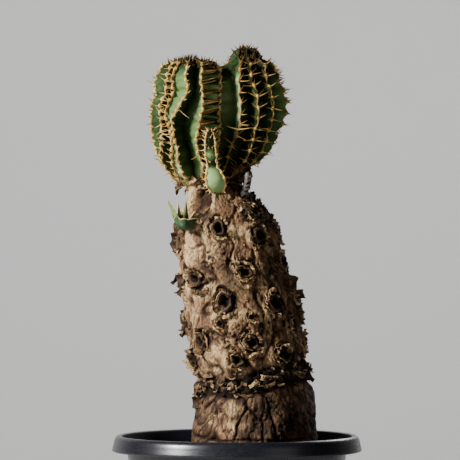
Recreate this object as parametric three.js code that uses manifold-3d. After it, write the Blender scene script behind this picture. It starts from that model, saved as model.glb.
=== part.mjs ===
// Potted euphorbia mlanjeana: a thick leaning caudex trunk with branch scars, crowned by
// spiny ribbed green stems, in a plain plastic nursery pot.
// Millimetres, +Z up. The origin is the centre of the pot's flat underside.
// Angles called turn are in degrees round a vertical axis: 0 faces -Y, 90 faces +X.

import * as THREE from 'three';
import { mergeVertices } from 'three/addons/utils/BufferGeometryUtils.js';
import Module from 'manifold-3d';

const wasm = await Module();
wasm.setup();

// Driving dimensions
const CLEARANCE = 0.35;
const POT_HEIGHT = 150;
const POT_RIM_RADIUS = 90;
const POT_CREST_RADIUS = 85;
const POT_LIP_DROP = 3.2;
const POT_LIP_HEIGHT = 11.5;
const POT_TOP_RADIUS = 79;
const POT_BASE_RADIUS = 60;
const POT_WALL = 2.6;
const POT_SIDES = 36;
const POT_FOOT_CHAMFER = 1.5;
const POT_LIP_EDGE = 1;
const DRAIN_RADIUS = 5;
const DRAIN_CIRCLE = 36;
const DRAIN_COUNT = 6;
const SOIL_TOP = 132;
const SOIL_RELIEF = 2.4;
const SOIL_LUMP = 9;
const SOIL_SIDES = 24;
const SOIL_RINGS = [68, 58, 46, 24];
const ROOT_TIP_HEIGHT = 84;
const TRUNK_SIDES = 30;
const TRUNK_ROWS = 26;
const BARK_RELIEF = 2;
const BARK_PLATES = { count: 14, height: 46 };
const BARK_WRINKLES = { count: 19, height: 12 };
const SCAR_RADIUS = 6.2;
const SCAR_SIDES = 6;
const SCAR_TILT = 18;
const SCAR_ROOT = 4;
const SCAR_RISE = 2.3;
const FLAPS_PER_SCAR = 2;
const FLAP_LENGTH = 10;
const FLAP_RADIUS = 3.5;
const RUBBLE_COUNT = 24;
const RUBBLE_HEIGHTS = [181, 202];
const RUBBLE_SIZE = 5.5;
const MARGIN_WIDTH = 2.4;
const MARGIN_DEPTH = 1.2;
const SPINE_LENGTH = 7.5;
const SPINE_SPREAD = 50;
const SHIELD_HALF = 0.9;
const APEX_REACH = 0.6;
const TOP_LIFT = 1.5;
const CROWN_BERTH = 22;

// Trunk outline from the buried root to the crown: height, centre x, radius
const TRUNK_OUTLINE = [
  { z: 84, x: 11, r: 14 }, { z: 110, x: 12, r: 33 }, { z: 131, x: 12.3, r: 43.6 },
  { z: 147, x: 12.6, r: 45.2 }, { z: 161, x: 13.1, r: 44 }, { z: 176, x: 13.3, r: 42.4 },
  { z: 190, x: 12.4, r: 41 }, { z: 204, x: 10.1, r: 40.6 }, { z: 219, x: 7.9, r: 40.6 },
  { z: 247, x: 2.7, r: 40.4 }, { z: 262, x: -0.7, r: 39 }, { z: 276, x: -2.9, r: 38 },
  { z: 291, x: -5.8, r: 36.2 }, { z: 303, x: -7.9, r: 34.2 }, { z: 312, x: -9.2, r: 29 },
  { z: 320, x: -10.8, r: 23.5 }, { z: 327, x: -12.4, r: 20 }, { z: 332, x: -13.6, r: 14 },
];

// Branch scars on the side that faces -Y: turn and height of each
const FRONT_SCARS = [
  [-9, 299], [36, 294.5], [12, 268], [-47, 263], [-15, 247], [37, 246], [-48, 218], [6, 218],
  [38, 210], [-74, 204], [-10, 205.5], [-66, 289], [67, 275], [-84, 258], [80, 257], [42, 311],
  [78, 296], [58, 229], [82, 218], [-84, 231], [54, 200],
];
// Scars on the far side, in staggered rows
const BACK_SCAR_ROWS = 5;
const BACK_SCARS_PER_ROW = 3;
const BACK_SCAR_HEIGHTS = [206, 300];
const BACK_SCAR_TURNS = [122, 206];
const BACK_SCAR_STAGGER = 24;

// Stems: outline of the green body, bottom to top, with the turn of each rib at some heights
const LEFT_STEM = {
  outline: [
    { z: 329, x: -31, y: -1, r: 7 }, { z: 334, x: -33, y: -2, r: 10.8 },
    { z: 341, x: -34.4, y: -3, r: 16.3 }, { z: 355, x: -36, y: -4, r: 21.9 },
    { z: 373, x: -36.8, y: -5, r: 24 }, { z: 388, x: -36.8, y: -5, r: 24.2 },
    { z: 394, x: -35.4, y: -5, r: 22.5 }, { z: 402, x: -35.3, y: -5, r: 23.6 },
    { z: 411, x: -34.4, y: -5, r: 22 }, { z: 416, x: -32.6, y: -5, r: 18.6 },
    { z: 419.5, x: -31, y: -5, r: 13.6 }, { z: 422, x: -29.4, y: -5, r: 7.4 },
  ],
  core: 0.6,
  ribs: [
    [[334, -104], [360, -94], [420, -84]],
    [[334, -76], [341, -74], [355, -57], [362, -46], [388, -46], [405, -41], [420, -46]],
    [[334, -44], [350, -32], [361, -27], [377, -33], [391, -28], [405, -21], [420, -24]],
    [[334, -13], [350, -19], [371, -23], [377, -23], [391, -5], [398, -1.5], [420, -8]],
    [[334, 42], [344, 36], [355, 21], [369, 22], [381, 29], [391, 30], [409, 24], [420, 24]],
    [[334, 70], [373, 78], [420, 80]],
    [[334, 118], [420, 118]], [[334, 160], [420, 160]],
    [[334, 198], [420, 198]], [[334, 226], [420, 236]],
  ],
  spineGap: 13,
};
const RIGHT_STEM = {
  outline: [
    { z: 331, x: -2, y: 2, r: 4.5 }, { z: 340, x: -3.2, y: 4.4, r: 8 },
    { z: 348, x: 1.3, y: 7, r: 15.3 }, { z: 355.2, x: 4, y: 8, r: 19 },
    { z: 366, x: 7.5, y: 8, r: 21.3 }, { z: 378, x: 10.4, y: 7, r: 23.8 },
    { z: 393.4, x: 10.8, y: 7, r: 24 }, { z: 405.6, x: 8.6, y: 6, r: 21.8 },
    { z: 412.8, x: 8.4, y: 6, r: 21 }, { z: 417, x: 9, y: 6, r: 17.6 },
    { z: 420.5, x: 7.4, y: 6, r: 12.4 }, { z: 425, x: 6.8, y: 6, r: 9.8 }, { z: 428, x: 6.6, y: 6, r: 5.6 },
  ],
  core: 0.6,
  ribs: [
    [[340, -80], [391, -77], [428, -80]],
    [[340, -34], [355, -27], [365, -22], [378, -19], [413, -17], [428, -40]],
    [[340, 18], [367, 14], [391, 9], [428, 2]],
    [[340, 54], [365, 44], [391, 37], [428, 34]],
    [[340, 88], [391, 82], [428, 68]],
    [[340, 122], [428, 118]], [[340, 158], [428, 156]],
    [[340, 196], [428, 196]], [[340, 240], [428, 240]],
  ],
  spineGap: 13,
};
const CENTRE_STEM = {
  outline: [
    { z: 323.6, x: -14, y: -17, r: 3 }, { z: 328, x: -14.6, y: -20.2, r: 6.2 },
    { z: 333, x: -15.3, y: -22.2, r: 7 }, { z: 340, x: -16.6, y: -23.6, r: 5.2 },
    { z: 345, x: -17.8, y: -24.6, r: 3.9 }, { z: 356, x: -18.8, y: -25.8, r: 4.1 },
    { z: 366, x: -19.2, y: -28.4, r: 3 }, { z: 368.8, x: -19.2, y: -28.8, r: 1.2 },
  ],
  core: 0.5,
  ribs: [
    [[322, -66], [340, -62], [369, -56]], [[322, 66], [340, 60], [369, 56]],
    [[322, 140], [369, 140]], [[322, 220], [369, 220]],
  ],
  spineGap: 10,
};
const STEMS = [LEFT_STEM, RIGHT_STEM, CENTRE_STEM];

// Side shoot: a small ribbed cup with pointed tips, low on the crown's left
const SHOOT_BASE = new THREE.Vector3(-33, -23.5, 300);
const SHOOT_MOUTH = new THREE.Vector3(-38.4, -31, 309);
const SHOOT_RADIUS = 5.6;
const SHOOT_SIDES = 8;
const SHOOT_TIPS = [
  new THREE.Vector3(-49.5, -33, 318.5), new THREE.Vector3(-40.5, -37, 317.5),
  new THREE.Vector3(-34.5, -36, 318), new THREE.Vector3(-29.6, -35, 310.5),
  new THREE.Vector3(-43, -26, 319),
];
const SHOOT_TIP_RADIUS = 2.6;

// Dead branch: a dry notched stub on the crown's right
const DEAD_ROUTE = [
  new THREE.Vector3(0.5, -12, 315), new THREE.Vector3(4.6, -15.6, 323),
  new THREE.Vector3(7.4, -16, 331), new THREE.Vector3(8.6, -15, 339.5),
];
const DEAD_RADIUS = 2.9;
const DEAD_ROWS = 11;
const DEAD_SIDES = 6;

// Woody necks of the crown that the stems stand in: foot, head and radius
const NECKS = [
  { foot: [-16, 0, 318], head: [-31.5, -1, 333], radius: 8.8 },
  { foot: [-8, 0, 318], head: [-2.6, 2.6, 335], radius: 7.6 },
];

const COLOURS = {
  pot: '#3c3d44', soil: '#4a3b30', bark: '#8a6f5a', green: '#4f7a4c', margin: '#c9ab72',
  shoot: '#6f9a63', dead: '#8d857c',
};

// A repeatable random number from 0 to 1 for a numbered item
function draw(item, salt = 0) {
  const wave = Math.sin(item * 127.1 + salt * 311.7 + 17.3) * 43758.5453;
  return wave - Math.floor(wave);
}

// Smooth noise from -1 to 1 on a lattice that repeats every `around` cells along u
function noise(u, v, around, salt) {
  const column = Math.floor(u);
  const row = Math.floor(v);
  const cell = (i, j) => draw((((i % around) + around) % around) + 57 * j, salt) * 2 - 1;
  const ease = (t) => t * t * (3 - 2 * t);
  const low = THREE.MathUtils.lerp(cell(column, row), cell(column + 1, row), ease(u - column));
  const high = THREE.MathUtils.lerp(cell(column, row + 1), cell(column + 1, row + 1), ease(u - column));
  return THREE.MathUtils.lerp(low, high, ease(v - row));
}

// Value at a place on a smooth curve through rising [place, value] pairs
function curveAt(pairs, place) {
  const last = pairs.length - 1;
  const at = THREE.MathUtils.clamp(place, pairs[0][0], pairs[last][0]);
  const i = Math.min(Math.max(pairs.findIndex(([p]) => p >= at) - 1, 0), last - 1);
  const slope = (k) => {
    const before = pairs[Math.max(k - 1, 0)];
    const after = pairs[Math.min(k + 1, last)];
    return (after[1] - before[1]) / (after[0] - before[0]);
  };
  const span = pairs[i + 1][0] - pairs[i][0];
  const t = (at - pairs[i][0]) / span;
  const fromStart = pairs[i][1] + slope(i) * span * t;
  const fromEnd = pairs[i + 1][1] - slope(i + 1) * span * (1 - t);
  return THREE.MathUtils.lerp(fromStart, fromEnd, t * t * (3 - 2 * t));
}

function outlineAt(outline, z, key) {
  return curveAt(outline.map((point) => [point.z, point[key]]), z);
}

// A stem's centre and radius at a height, straight between its outline's points
function stemAt(stem, z) {
  const { outline } = stem;
  const last = outline.length - 1;
  const found = outline.findIndex((point) => point.z >= z);
  const i = Math.min(Math.max((found < 0 ? last : found) - 1, 0), last - 1);
  const t = THREE.MathUtils.clamp((z - outline[i].z) / (outline[i + 1].z - outline[i].z), 0, 1);
  const mix = (key) => THREE.MathUtils.lerp(outline[i][key], outline[i + 1][key], t);
  return { x: mix('x'), y: mix('y'), r: mix('r') };
}

// Point at a turn and radius round a centre
function around(x, y, z, turn, radius) {
  const angle = THREE.MathUtils.degToRad(turn);
  return new THREE.Vector3(x + radius * Math.sin(angle), y - radius * Math.cos(angle), z);
}

// Closed tube whose every vertex is set by place(column, row, isCentre); columns run by turn
function formTube(columns, rows, place) {
  const geometry = new THREE.CylinderGeometry(1, 1, 1, columns, rows);
  const position = geometry.attributes.position;
  for (let i = 0; i < position.count; i += 1) {
    const x = position.getX(i);
    const z = position.getZ(i);
    const isCentre = Math.hypot(x, z) < 0.5;
    const fraction = (Math.atan2(x, z) / (2 * Math.PI) + 1) % 1;
    const column = Math.round(fraction * columns) % columns;
    const row = Math.round((position.getY(i) + 0.5) * rows);
    const point = place(column, row, isCentre);
    position.setXYZ(i, point.x, point.y, point.z);
  }
  return geometry;
}

function toSolid(geometry) {
  const bare = geometry.clone();
  bare.deleteAttribute('normal');
  bare.deleteAttribute('uv');
  const merged = mergeVertices(bare, 1e-3);
  return new wasm.Manifold(new wasm.Mesh({
    numProp: 3,
    vertProperties: new Float32Array(merged.attributes.position.array),
    triVerts: new Uint32Array(merged.index.array),
  }));
}

// The largest body of a solid, so that a loose scrap left by a cut is dropped
function largestBody(solid) {
  return solid.decompose().reduce((best, body) => (body.volume() > best.volume() ? body : best));
}

function toGeometry(solid) {
  const mesh = largestBody(solid).getMesh();
  const geometry = new THREE.BufferGeometry();
  geometry.setAttribute('position', new THREE.BufferAttribute(mesh.vertProperties, 3));
  geometry.setIndex(new THREE.BufferAttribute(mesh.triVerts, 1));
  geometry.computeVertexNormals();
  return geometry;
}

function join(solids) {
  return solids.reduce((whole, solid) => whole.add(solid));
}

// Turns a geometry made along +Y so that it starts at a point and runs along a direction
function aim(geometry, from, direction) {
  const turn = new THREE.Quaternion().setFromUnitVectors(
    new THREE.Vector3(0, 1, 0), direction.clone().normalize());
  geometry.applyQuaternion(turn);
  geometry.translate(from.x, from.y, from.z);
  return geometry;
}

function lathe(profile, sides) {
  const points = profile.map(([r, z]) => new THREE.Vector2(r, z));
  const geometry = new THREE.LatheGeometry(points, sides);
  geometry.rotateX(Math.PI / 2);
  return geometry;
}

function makePot() {
  const lipUnder = POT_HEIGHT - POT_LIP_HEIGHT;
  const lipTop = POT_HEIGHT - POT_LIP_DROP;
  const rimEdge = POT_RIM_RADIUS - POT_LIP_EDGE;
  const body = toSolid(lathe([
    [0, 0], [POT_BASE_RADIUS, 0], [POT_BASE_RADIUS + POT_FOOT_CHAMFER, POT_FOOT_CHAMFER],
    [POT_TOP_RADIUS, lipUnder], [rimEdge, lipUnder], [POT_RIM_RADIUS, lipUnder + POT_LIP_EDGE],
    [POT_RIM_RADIUS, lipTop - POT_LIP_EDGE], [rimEdge, lipTop], [POT_CREST_RADIUS, POT_HEIGHT],
    [POT_CREST_RADIUS - 2 * POT_LIP_EDGE, POT_HEIGHT - POT_LIP_EDGE / 2],
    [potInside(lipUnder), lipUnder], [potInside(POT_WALL), POT_WALL], [0, POT_WALL],
  ], POT_SIDES));
  const drains = [];
  for (let i = 0; i < DRAIN_COUNT; i += 1) {
    const drain = new THREE.CylinderGeometry(DRAIN_RADIUS, DRAIN_RADIUS, 4 * POT_WALL, 8);
    drain.rotateX(Math.PI / 2);
    const centre = around(0, 0, 0, (i * 360) / DRAIN_COUNT, DRAIN_CIRCLE);
    drain.translate(centre.x, centre.y, centre.z);
    drains.push(toSolid(drain));
  }
  return body.subtract(join(drains));
}

// Radius of the pot's inner wall at a height
function potInside(z) {
  const rise = (z - POT_WALL) / (POT_HEIGHT - POT_LIP_HEIGHT - POT_WALL);
  return THREE.MathUtils.lerp(POT_BASE_RADIUS, POT_TOP_RADIUS - POT_WALL, rise) - POT_WALL / 2;
}

function trunkSolid(grow = 0) {
  const top = TRUNK_OUTLINE[TRUNK_OUTLINE.length - 1].z;
  return toSolid(formTube(TRUNK_SIDES, TRUNK_ROWS, (column, row, isCentre) => {
    const step = row / TRUNK_ROWS;
    const z = row === 0 ? ROOT_TIP_HEIGHT - grow : THREE.MathUtils.lerp(SOIL_TOP - 18, top, step);
    const x = outlineAt(TRUNK_OUTLINE, z, 'x');
    const turn = (column * 360) / TRUNK_SIDES;
    if (isCentre) {
      return new THREE.Vector3(x, 0, row === 0 ? z : z + 1.5);
    }
    const bare = outlineAt(TRUNK_OUTLINE, z, 'r');
    return around(x, 0, z, turn, bare + grow + barkRelief(turn, z));
  }));
}

// Tall bark plates near the soil, finer wrinkles above, none below ground
function barkRelief(turn, z) {
  const aboveSoil = THREE.MathUtils.smoothstep(z, SOIL_TOP + 6, SOIL_TOP + 22);
  const [plates, wrinkles] = [BARK_PLATES, BARK_WRINKLES].map(({ count, height }, salt) => (
    noise((turn * count) / 360, z / height, count, salt + 1)));
  return aboveSoil * BARK_RELIEF * (plates * 0.8 + wrinkles * 0.6);
}

function makeSoil() {
  const outer = potInside(SOIL_TOP) - CLEARANCE;
  const floor = POT_WALL + CLEARANCE;
  const rings = SOIL_RINGS.map((r) => [r, SOIL_TOP]);
  const geometry = lathe([
    [0, floor], [potInside(floor) - CLEARANCE, floor], [outer, SOIL_TOP], ...rings, [0, SOIL_TOP],
  ], SOIL_SIDES);
  const position = geometry.attributes.position;
  for (let i = 0; i < position.count; i += 1) {
    const x = position.getX(i);
    const y = position.getY(i);
    const inField = position.getZ(i) > SOIL_TOP - 1 && Math.hypot(x, y) < outer - 1;
    const relief = inField ? noise(x / SOIL_LUMP, y / SOIL_LUMP, SOIL_SIDES, 3) * SOIL_RELIEF : 0;
    position.setZ(i, position.getZ(i) + relief);
  }
  return toSolid(geometry).subtract(trunkSolid(CLEARANCE));
}

// Point and outward direction on the trunk's bare surface
function onTrunk(turn, z) {
  const x = outlineAt(TRUNK_OUTLINE, z, 'x');
  const point = around(x, 0, z, turn, outlineAt(TRUNK_OUTLINE, z, 'r'));
  const rise = outlineAt(TRUNK_OUTLINE, z + 2, 'r') - outlineAt(TRUNK_OUTLINE, z - 2, 'r');
  const outward = around(0, 0, -rise / 4, turn, 1).normalize();
  return { point, outward };
}

function scarSpots() {
  const spots = FRONT_SCARS.map(([turn, z]) => ({ turn, z }));
  for (let row = 0; row < BACK_SCAR_ROWS; row += 1) {
    const z = THREE.MathUtils.lerp(...BACK_SCAR_HEIGHTS, row / (BACK_SCAR_ROWS - 1));
    for (let i = 0; i < BACK_SCARS_PER_ROW; i += 1) {
      const spread = THREE.MathUtils.lerp(...BACK_SCAR_TURNS, i / (BACK_SCARS_PER_ROW - 1));
      const shift = (row % 2) * BACK_SCAR_STAGGER + 8 * draw(spots.length, 4);
      spots.push({ turn: spread + shift, z: z + 5 * draw(spots.length, 5) });
    }
  }
  return spots;
}

// A broken ring of cork round a sunk centre, tilted up as the lost branch was
function makeScar(spot, item) {
  const size = SCAR_RADIUS * (0.85 + 0.3 * draw(item, 6));
  const { point, outward } = onTrunk(spot.turn, spot.z);
  const tilted = outward.clone().applyAxisAngle(
    around(0, 0, 0, spot.turn + 90, 1), THREE.MathUtils.degToRad(-SCAR_TILT));
  const cup = new THREE.LatheGeometry([
    [0, -SCAR_ROOT], [size, -SCAR_ROOT], [size * 1.05, SCAR_RISE], [size * 0.72, SCAR_RISE],
    [size * 0.4, -1], [0, -1],
  ].map(([r, h]) => new THREE.Vector2(r, h)), SCAR_SIDES);
  return toSolid(aim(cup, point, tilted));
}

// Dry flaps that stand round a scar, mostly below it
function makeFlap(spot, item, i) {
  const { point, outward } = onTrunk(spot.turn, spot.z);
  const sideways = around(0, 0, 0, spot.turn + 90, 1);
  const clock = THREE.MathUtils.degToRad(200 + i * 75 + 50 * draw(item, 7 + i));
  const offset = sideways.clone().multiplyScalar(Math.cos(clock));
  offset.z += Math.sin(clock);
  const root = point.clone().addScaledVector(offset, SCAR_RADIUS * 0.85).addScaledVector(outward, -2);
  const length = FLAP_LENGTH * (0.7 + 0.5 * draw(item, 11 + i));
  const flap = new THREE.ConeGeometry(FLAP_RADIUS, length, 3);
  flap.scale(1, 1, 0.5);
  flap.rotateY(draw(item, 15 + i) * Math.PI);
  flap.translate(0, length / 2 - 1, 0);
  return toSolid(aim(flap, root, outward.clone().multiplyScalar(1.5).addScaledVector(offset, 0.8)));
}

// Crumbled bark in a band round the trunk
function makeRubble(item) {
  const turn = (item * 360) / RUBBLE_COUNT + 7 * draw(item, 21);
  const z = THREE.MathUtils.lerp(...RUBBLE_HEIGHTS, draw(item, 22));
  const { point, outward } = onTrunk(turn, z);
  const chip = new THREE.BoxGeometry(RUBBLE_SIZE, RUBBLE_SIZE * 0.8, RUBBLE_SIZE * 0.9);
  chip.rotateX(draw(item, 23) * 3);
  chip.rotateZ(draw(item, 24) * 3);
  return toSolid(aim(chip, point, outward.add(new THREE.Vector3(0, 0, draw(item, 25) - 0.3))));
}

function makeNeck({ foot, head, radius }) {
  const start = new THREE.Vector3(...foot);
  const run = new THREE.Vector3(...head).sub(start);
  const neck = new THREE.CylinderGeometry(radius, radius * 1.5, run.length(), 12, 1);
  neck.translate(0, run.length() / 2, 0);
  return toSolid(aim(neck, start, run));
}

function makeTrunk(standing) {
  const spots = scarSpots();
  const scars = spots.map(makeScar);
  const flaps = spots.flatMap((spot, item) => (
    Array.from({ length: FLAPS_PER_SCAR }, (_, i) => makeFlap(spot, item, i))));
  const rubble = Array.from({ length: RUBBLE_COUNT }, (_, item) => makeRubble(item));
  const necks = NECKS.map(makeNeck);
  return join([trunkSolid(), ...necks, ...scars, ...flaps, ...rubble]).subtract(join(standing));
}

// Turn of a rib at a height
function ribTurn(stem, rib, z) {
  return curveAt(stem.ribs[rib], z);
}

// Green body of a stem: for each rib a groove line and the two edges of its crest
function stemSolid(stem, grow = 0) {
  const ribs = stem.ribs.length;
  const { outline } = stem;
  const rows = outline.length - 1;
  return toSolid(formTube(ribs * 3, rows, (column, row, isCentre) => {
    const { x, y, r } = outline[row];
    const end = row === rows ? grow : 0;
    const z = outline[row].z + (row === 0 ? -grow : end);
    if (isCentre) {
      return new THREE.Vector3(x, y, z);
    }
    const rib = Math.floor(column / 3);
    const part = column % 3;
    const turn = ribTurn(stem, rib, z);
    const before = ribTurn(stem, (rib + ribs - 1) % ribs, z) - (rib === 0 ? 360 : 0);
    if (part === 0) {
      return around(x, y, z, (before + turn) / 2, r * stem.core + grow);
    }
    const half = Math.min(MARGIN_WIDTH / 2, r * 0.12) + grow;
    const side = part === 1 ? -1 : 1;
    return around(x, y, z, turn + side * THREE.MathUtils.radToDeg(half / (r + grow)), r + grow);
  }));
}

function stemTop(stem) {
  return stem.outline[stem.outline.length - 1];
}

// How far a point lies outside a stem's ribs
function outside(stem, point) {
  const { x, y, r } = stemAt(stem, point.z);
  const above = Math.max(point.z - stemTop(stem).z, 0);
  return Math.hypot(point.x - x, point.y - y, above) - r - MARGIN_DEPTH;
}

// A spine keeps to its own stem's side of every other stem, and off the crown
function keepsClear(stem, tip) {
  const crown = TRUNK_OUTLINE[TRUNK_OUTLINE.length - 1];
  const besideCrown = tip.y < -CROWN_BERTH || tip.z > crown.z + CROWN_BERTH / 2;
  const others = STEMS.filter((other) => other !== stem);
  return besideCrown && others.every(
    (other) => outside(other, tip) > outside(stem, tip) + 1 && outside(other, tip) > 2);
}

// Tip of the spine on one side of a shield, or null where it has no room
function spineTip(stem, rib, shield, side) {
  const { x, y, r } = stemAt(stem, shield.z);
  const turn = ribTurn(stem, rib, shield.z);
  const root = around(x, y, shield.z, turn, r + CLEARANCE + MARGIN_DEPTH);
  const lift = (draw(rib * 31 + shield.item, 30 + side) - 0.4) * 0.7;
  const way = around(0, 0, lift, turn + side * SPINE_SPREAD, 1).normalize();
  const length = SPINE_LENGTH * (0.8 + 0.35 * draw(rib * 17 + shield.item, 33 + side));
  const tip = root.addScaledVector(way, length);
  return keepsClear(stem, tip) ? tip : null;
}

// Heights of a strip's rows: the stem's outline points, and three rows for each spine shield
function stripRows(stem) {
  const bottom = stem.outline[1].z + SPINE_LENGTH;
  const top = stemTop(stem).z - SPINE_LENGTH / 2;
  const count = Math.floor((top - bottom) / stem.spineGap);
  const shields = Array.from({ length: count + 1 }, (_, item) => (
    { item, z: bottom + ((top - bottom) * item) / count }));
  const shieldRows = shields.flatMap(({ item, z }) => (
    [{ z: z - SHIELD_HALF }, { z, item }, { z: z + SHIELD_HALF }]));
  const between = stem.outline.slice(1)
    .filter((point) => shields.every(({ z }) => Math.abs(point.z - z) > 2 * SHIELD_HALF))
    .map(({ z }) => ({ z, between: true }));
  return [...between, ...shieldRows].sort((a, b) => a.z - b.z);
}

// Horny strip along one rib, with paired spines drawn out of its edges at the shields,
// from the stem's foot to the middle of its top
function makeStrip(stem, rib, grow = 0) {
  const rows = stripRows(stem);
  const top = rows.length;
  const end = stemTop(stem);
  return toSolid(formTube(4, top, (column, row, isCentre) => {
    const isLast = row === top;
    const level = isLast ? end : rows[row];
    const spot = stemAt(stem, level.z);
    const radius = isLast ? APEX_REACH : spot.r;
    const turn = ribTurn(stem, rib, level.z);
    const lift = row >= top - 2 ? CLEARANCE * TOP_LIFT : -grow;
    const z = level.z + lift + (isLast ? MARGIN_DEPTH : 0);
    const inner = radius + CLEARANCE - grow;
    const outer = radius + CLEARANCE + MARGIN_DEPTH + grow;
    if (isCentre) {
      return around(spot.x, spot.y, z, turn, (inner + outer) / 2);
    }
    const side = column === 0 || column === 3 ? 1 : -1;
    const tip = level.item !== undefined && column >= 2 && grow === 0
      ? spineTip(stem, rib, level, side) : null;
    if (tip) {
      return tip;
    }
    const width = MARGIN_WIDTH * (level.between ? 0.65 : 1);
    const half = Math.min(width, radius * 0.5) / 2 + grow;
    const reach = column < 2 ? inner : outer;
    return around(spot.x, spot.y, z, turn + side * THREE.MathUtils.radToDeg(half / reach), reach);
  }));
}

// Cap of young tissue that joins the strips in the middle of a stem's top
function makeApex(stem) {
  const end = stemTop(stem);
  const cap = new THREE.SphereGeometry(end.r + MARGIN_DEPTH * 1.2, 10, 5, 0, Math.PI * 2, 0, Math.PI);
  cap.rotateX(Math.PI / 2);
  cap.scale(1, 1, 0.5);
  cap.translate(end.x, end.y, end.z + CLEARANCE + MARGIN_DEPTH * 0.4);
  return toSolid(cap).subtract(stemSolid(stem, CLEARANCE));
}

function makeMargins(stem) {
  const strips = stem.ribs.map((_, rib) => makeStrip(stem, rib));
  return join([makeApex(stem), ...strips]);
}

// Everything of a stem that the trunk's hole has to clear
function stemWithStrips(stem) {
  const strips = stem.ribs.map((_, rib) => makeStrip(stem, rib, CLEARANCE));
  return join([stemSolid(stem, CLEARANCE), ...strips]);
}

function makeShoot(grow = 0) {
  const run = SHOOT_MOUTH.clone().sub(SHOOT_BASE);
  const cup = new THREE.CylinderGeometry(
    SHOOT_RADIUS + grow, SHOOT_RADIUS * 0.55 + grow, run.length() + 2 * grow, SHOOT_SIDES);
  cup.translate(0, run.length() / 2, 0);
  const tips = SHOOT_TIPS.map((tip) => {
    const from = SHOOT_BASE.clone().lerp(SHOOT_MOUTH, 0.62);
    const way = tip.clone().sub(from);
    const horn = new THREE.ConeGeometry(SHOOT_TIP_RADIUS + grow, way.length() + grow, 4);
    horn.translate(0, way.length() / 2, 0);
    return toSolid(aim(horn, from, way));
  });
  return join([toSolid(aim(cup, SHOOT_BASE, run)), ...tips]);
}

function makeDeadBranch(grow = 0) {
  const route = new THREE.CatmullRomCurve3(DEAD_ROUTE);
  return toSolid(formTube(DEAD_SIDES, DEAD_ROWS, (column, row, isCentre) => {
    const spot = route.getPoint(row / DEAD_ROWS);
    const end = row === DEAD_ROWS ? grow : 0;
    spot.z += row === 0 ? -grow : end;
    const notch = row % 2 === 0 ? 0.82 : 1;
    const radius = isCentre ? 0 : DEAD_RADIUS * notch * (1 - (0.35 * row) / DEAD_ROWS) + grow;
    return around(spot.x, spot.y, spot.z, (column * 360) / DEAD_SIDES, radius);
  }));
}

function namedMesh(name, solid, colour, roughness) {
  const material = new THREE.MeshStandardMaterial({ color: colour, roughness, metalness: 0 });
  const mesh = new THREE.Mesh(toGeometry(solid), material);
  mesh.name = name;
  return mesh;
}

const standing = [
  ...STEMS.map(stemWithStrips), makeShoot(CLEARANCE), makeDeadBranch(CLEARANCE),
];

const group = new THREE.Group();
group.add(
  namedMesh('pot', makePot(), COLOURS.pot, 0.42),
  namedMesh('soil', makeSoil(), COLOURS.soil, 0.95),
  namedMesh('trunk', makeTrunk(standing), COLOURS.bark, 0.85),
  namedMesh('left_stem', stemSolid(LEFT_STEM), COLOURS.green, 0.6),
  namedMesh('left_stem_margins', makeMargins(LEFT_STEM), COLOURS.margin, 0.7),
  namedMesh('right_stem', stemSolid(RIGHT_STEM), COLOURS.green, 0.6),
  namedMesh('right_stem_margins', makeMargins(RIGHT_STEM), COLOURS.margin, 0.7),
  namedMesh('centre_stem', stemSolid(CENTRE_STEM), COLOURS.green, 0.6),
  namedMesh('centre_stem_margins', makeMargins(CENTRE_STEM), COLOURS.margin, 0.7),
  namedMesh('side_shoot', makeShoot(), COLOURS.shoot, 0.6),
  namedMesh('dead_branch', makeDeadBranch(), COLOURS.dead, 0.9),
);

export default group;
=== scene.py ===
# %% [markdown]
# # A potted euphorbia mlanjeana
# A thick leaning caudex trunk, pitted with the scars of lost branches and wrapped in dry flaking
# bark, carries a head of green ribbed stems with horny spined edges. It stands in a plain
# slate-grey nursery pot. The plant is built as it grew: first the pot and the soil, then the
# trunk, then the stems, their horny edges and their spines.

import math
from functools import lru_cache

import bmesh
import bpy
from mathutils import Matrix, Vector, noise


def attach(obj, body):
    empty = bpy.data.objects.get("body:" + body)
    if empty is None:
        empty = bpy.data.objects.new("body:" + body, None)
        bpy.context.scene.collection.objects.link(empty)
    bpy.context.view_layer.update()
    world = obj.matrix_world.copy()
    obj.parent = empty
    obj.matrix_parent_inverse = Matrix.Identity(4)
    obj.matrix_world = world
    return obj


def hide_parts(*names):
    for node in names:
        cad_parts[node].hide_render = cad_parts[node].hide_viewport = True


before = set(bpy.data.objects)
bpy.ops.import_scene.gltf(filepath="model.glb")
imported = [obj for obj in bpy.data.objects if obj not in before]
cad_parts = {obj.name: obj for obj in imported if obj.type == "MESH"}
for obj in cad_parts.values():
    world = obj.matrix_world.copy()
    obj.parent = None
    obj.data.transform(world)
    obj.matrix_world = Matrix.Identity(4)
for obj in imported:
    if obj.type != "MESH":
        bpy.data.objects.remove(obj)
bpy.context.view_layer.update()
MM = 0.001
WELD = 1e-6
NOISE_SEED = 3
noise.seed_set(NOISE_SEED)

# %% [markdown]
# ## The camera
# The photograph was taken almost level with the plant, from far away with a long lens, which is
# why the pot's round rim looks nearly like a straight line. A long lens from 2.4 metres gives the
# same flat view.

# %% Camera
CAMERA_PLACE = (-0.005, -2.448, 0.2976)
CAMERA_LENS = 266

camera = bpy.data.objects.new("camera", bpy.data.cameras.new("camera"))
camera.location = CAMERA_PLACE
camera.rotation_euler = (math.pi / 2, 0, 0)
camera.data.lens = CAMERA_LENS
bpy.context.scene.collection.objects.link(camera)
bpy.context.scene.camera = camera
print("camera", CAMERA_PLACE, "lens", CAMERA_LENS)

# %% [markdown]
# ## The light
# One soft light from the upper left makes the left flanks bright and leaves the right ones in
# shade, which shows the ribs and the craters. A weak light from the right keeps the shade open,
# another shows the plant's back, and the last one brightens the wall alone.

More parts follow.
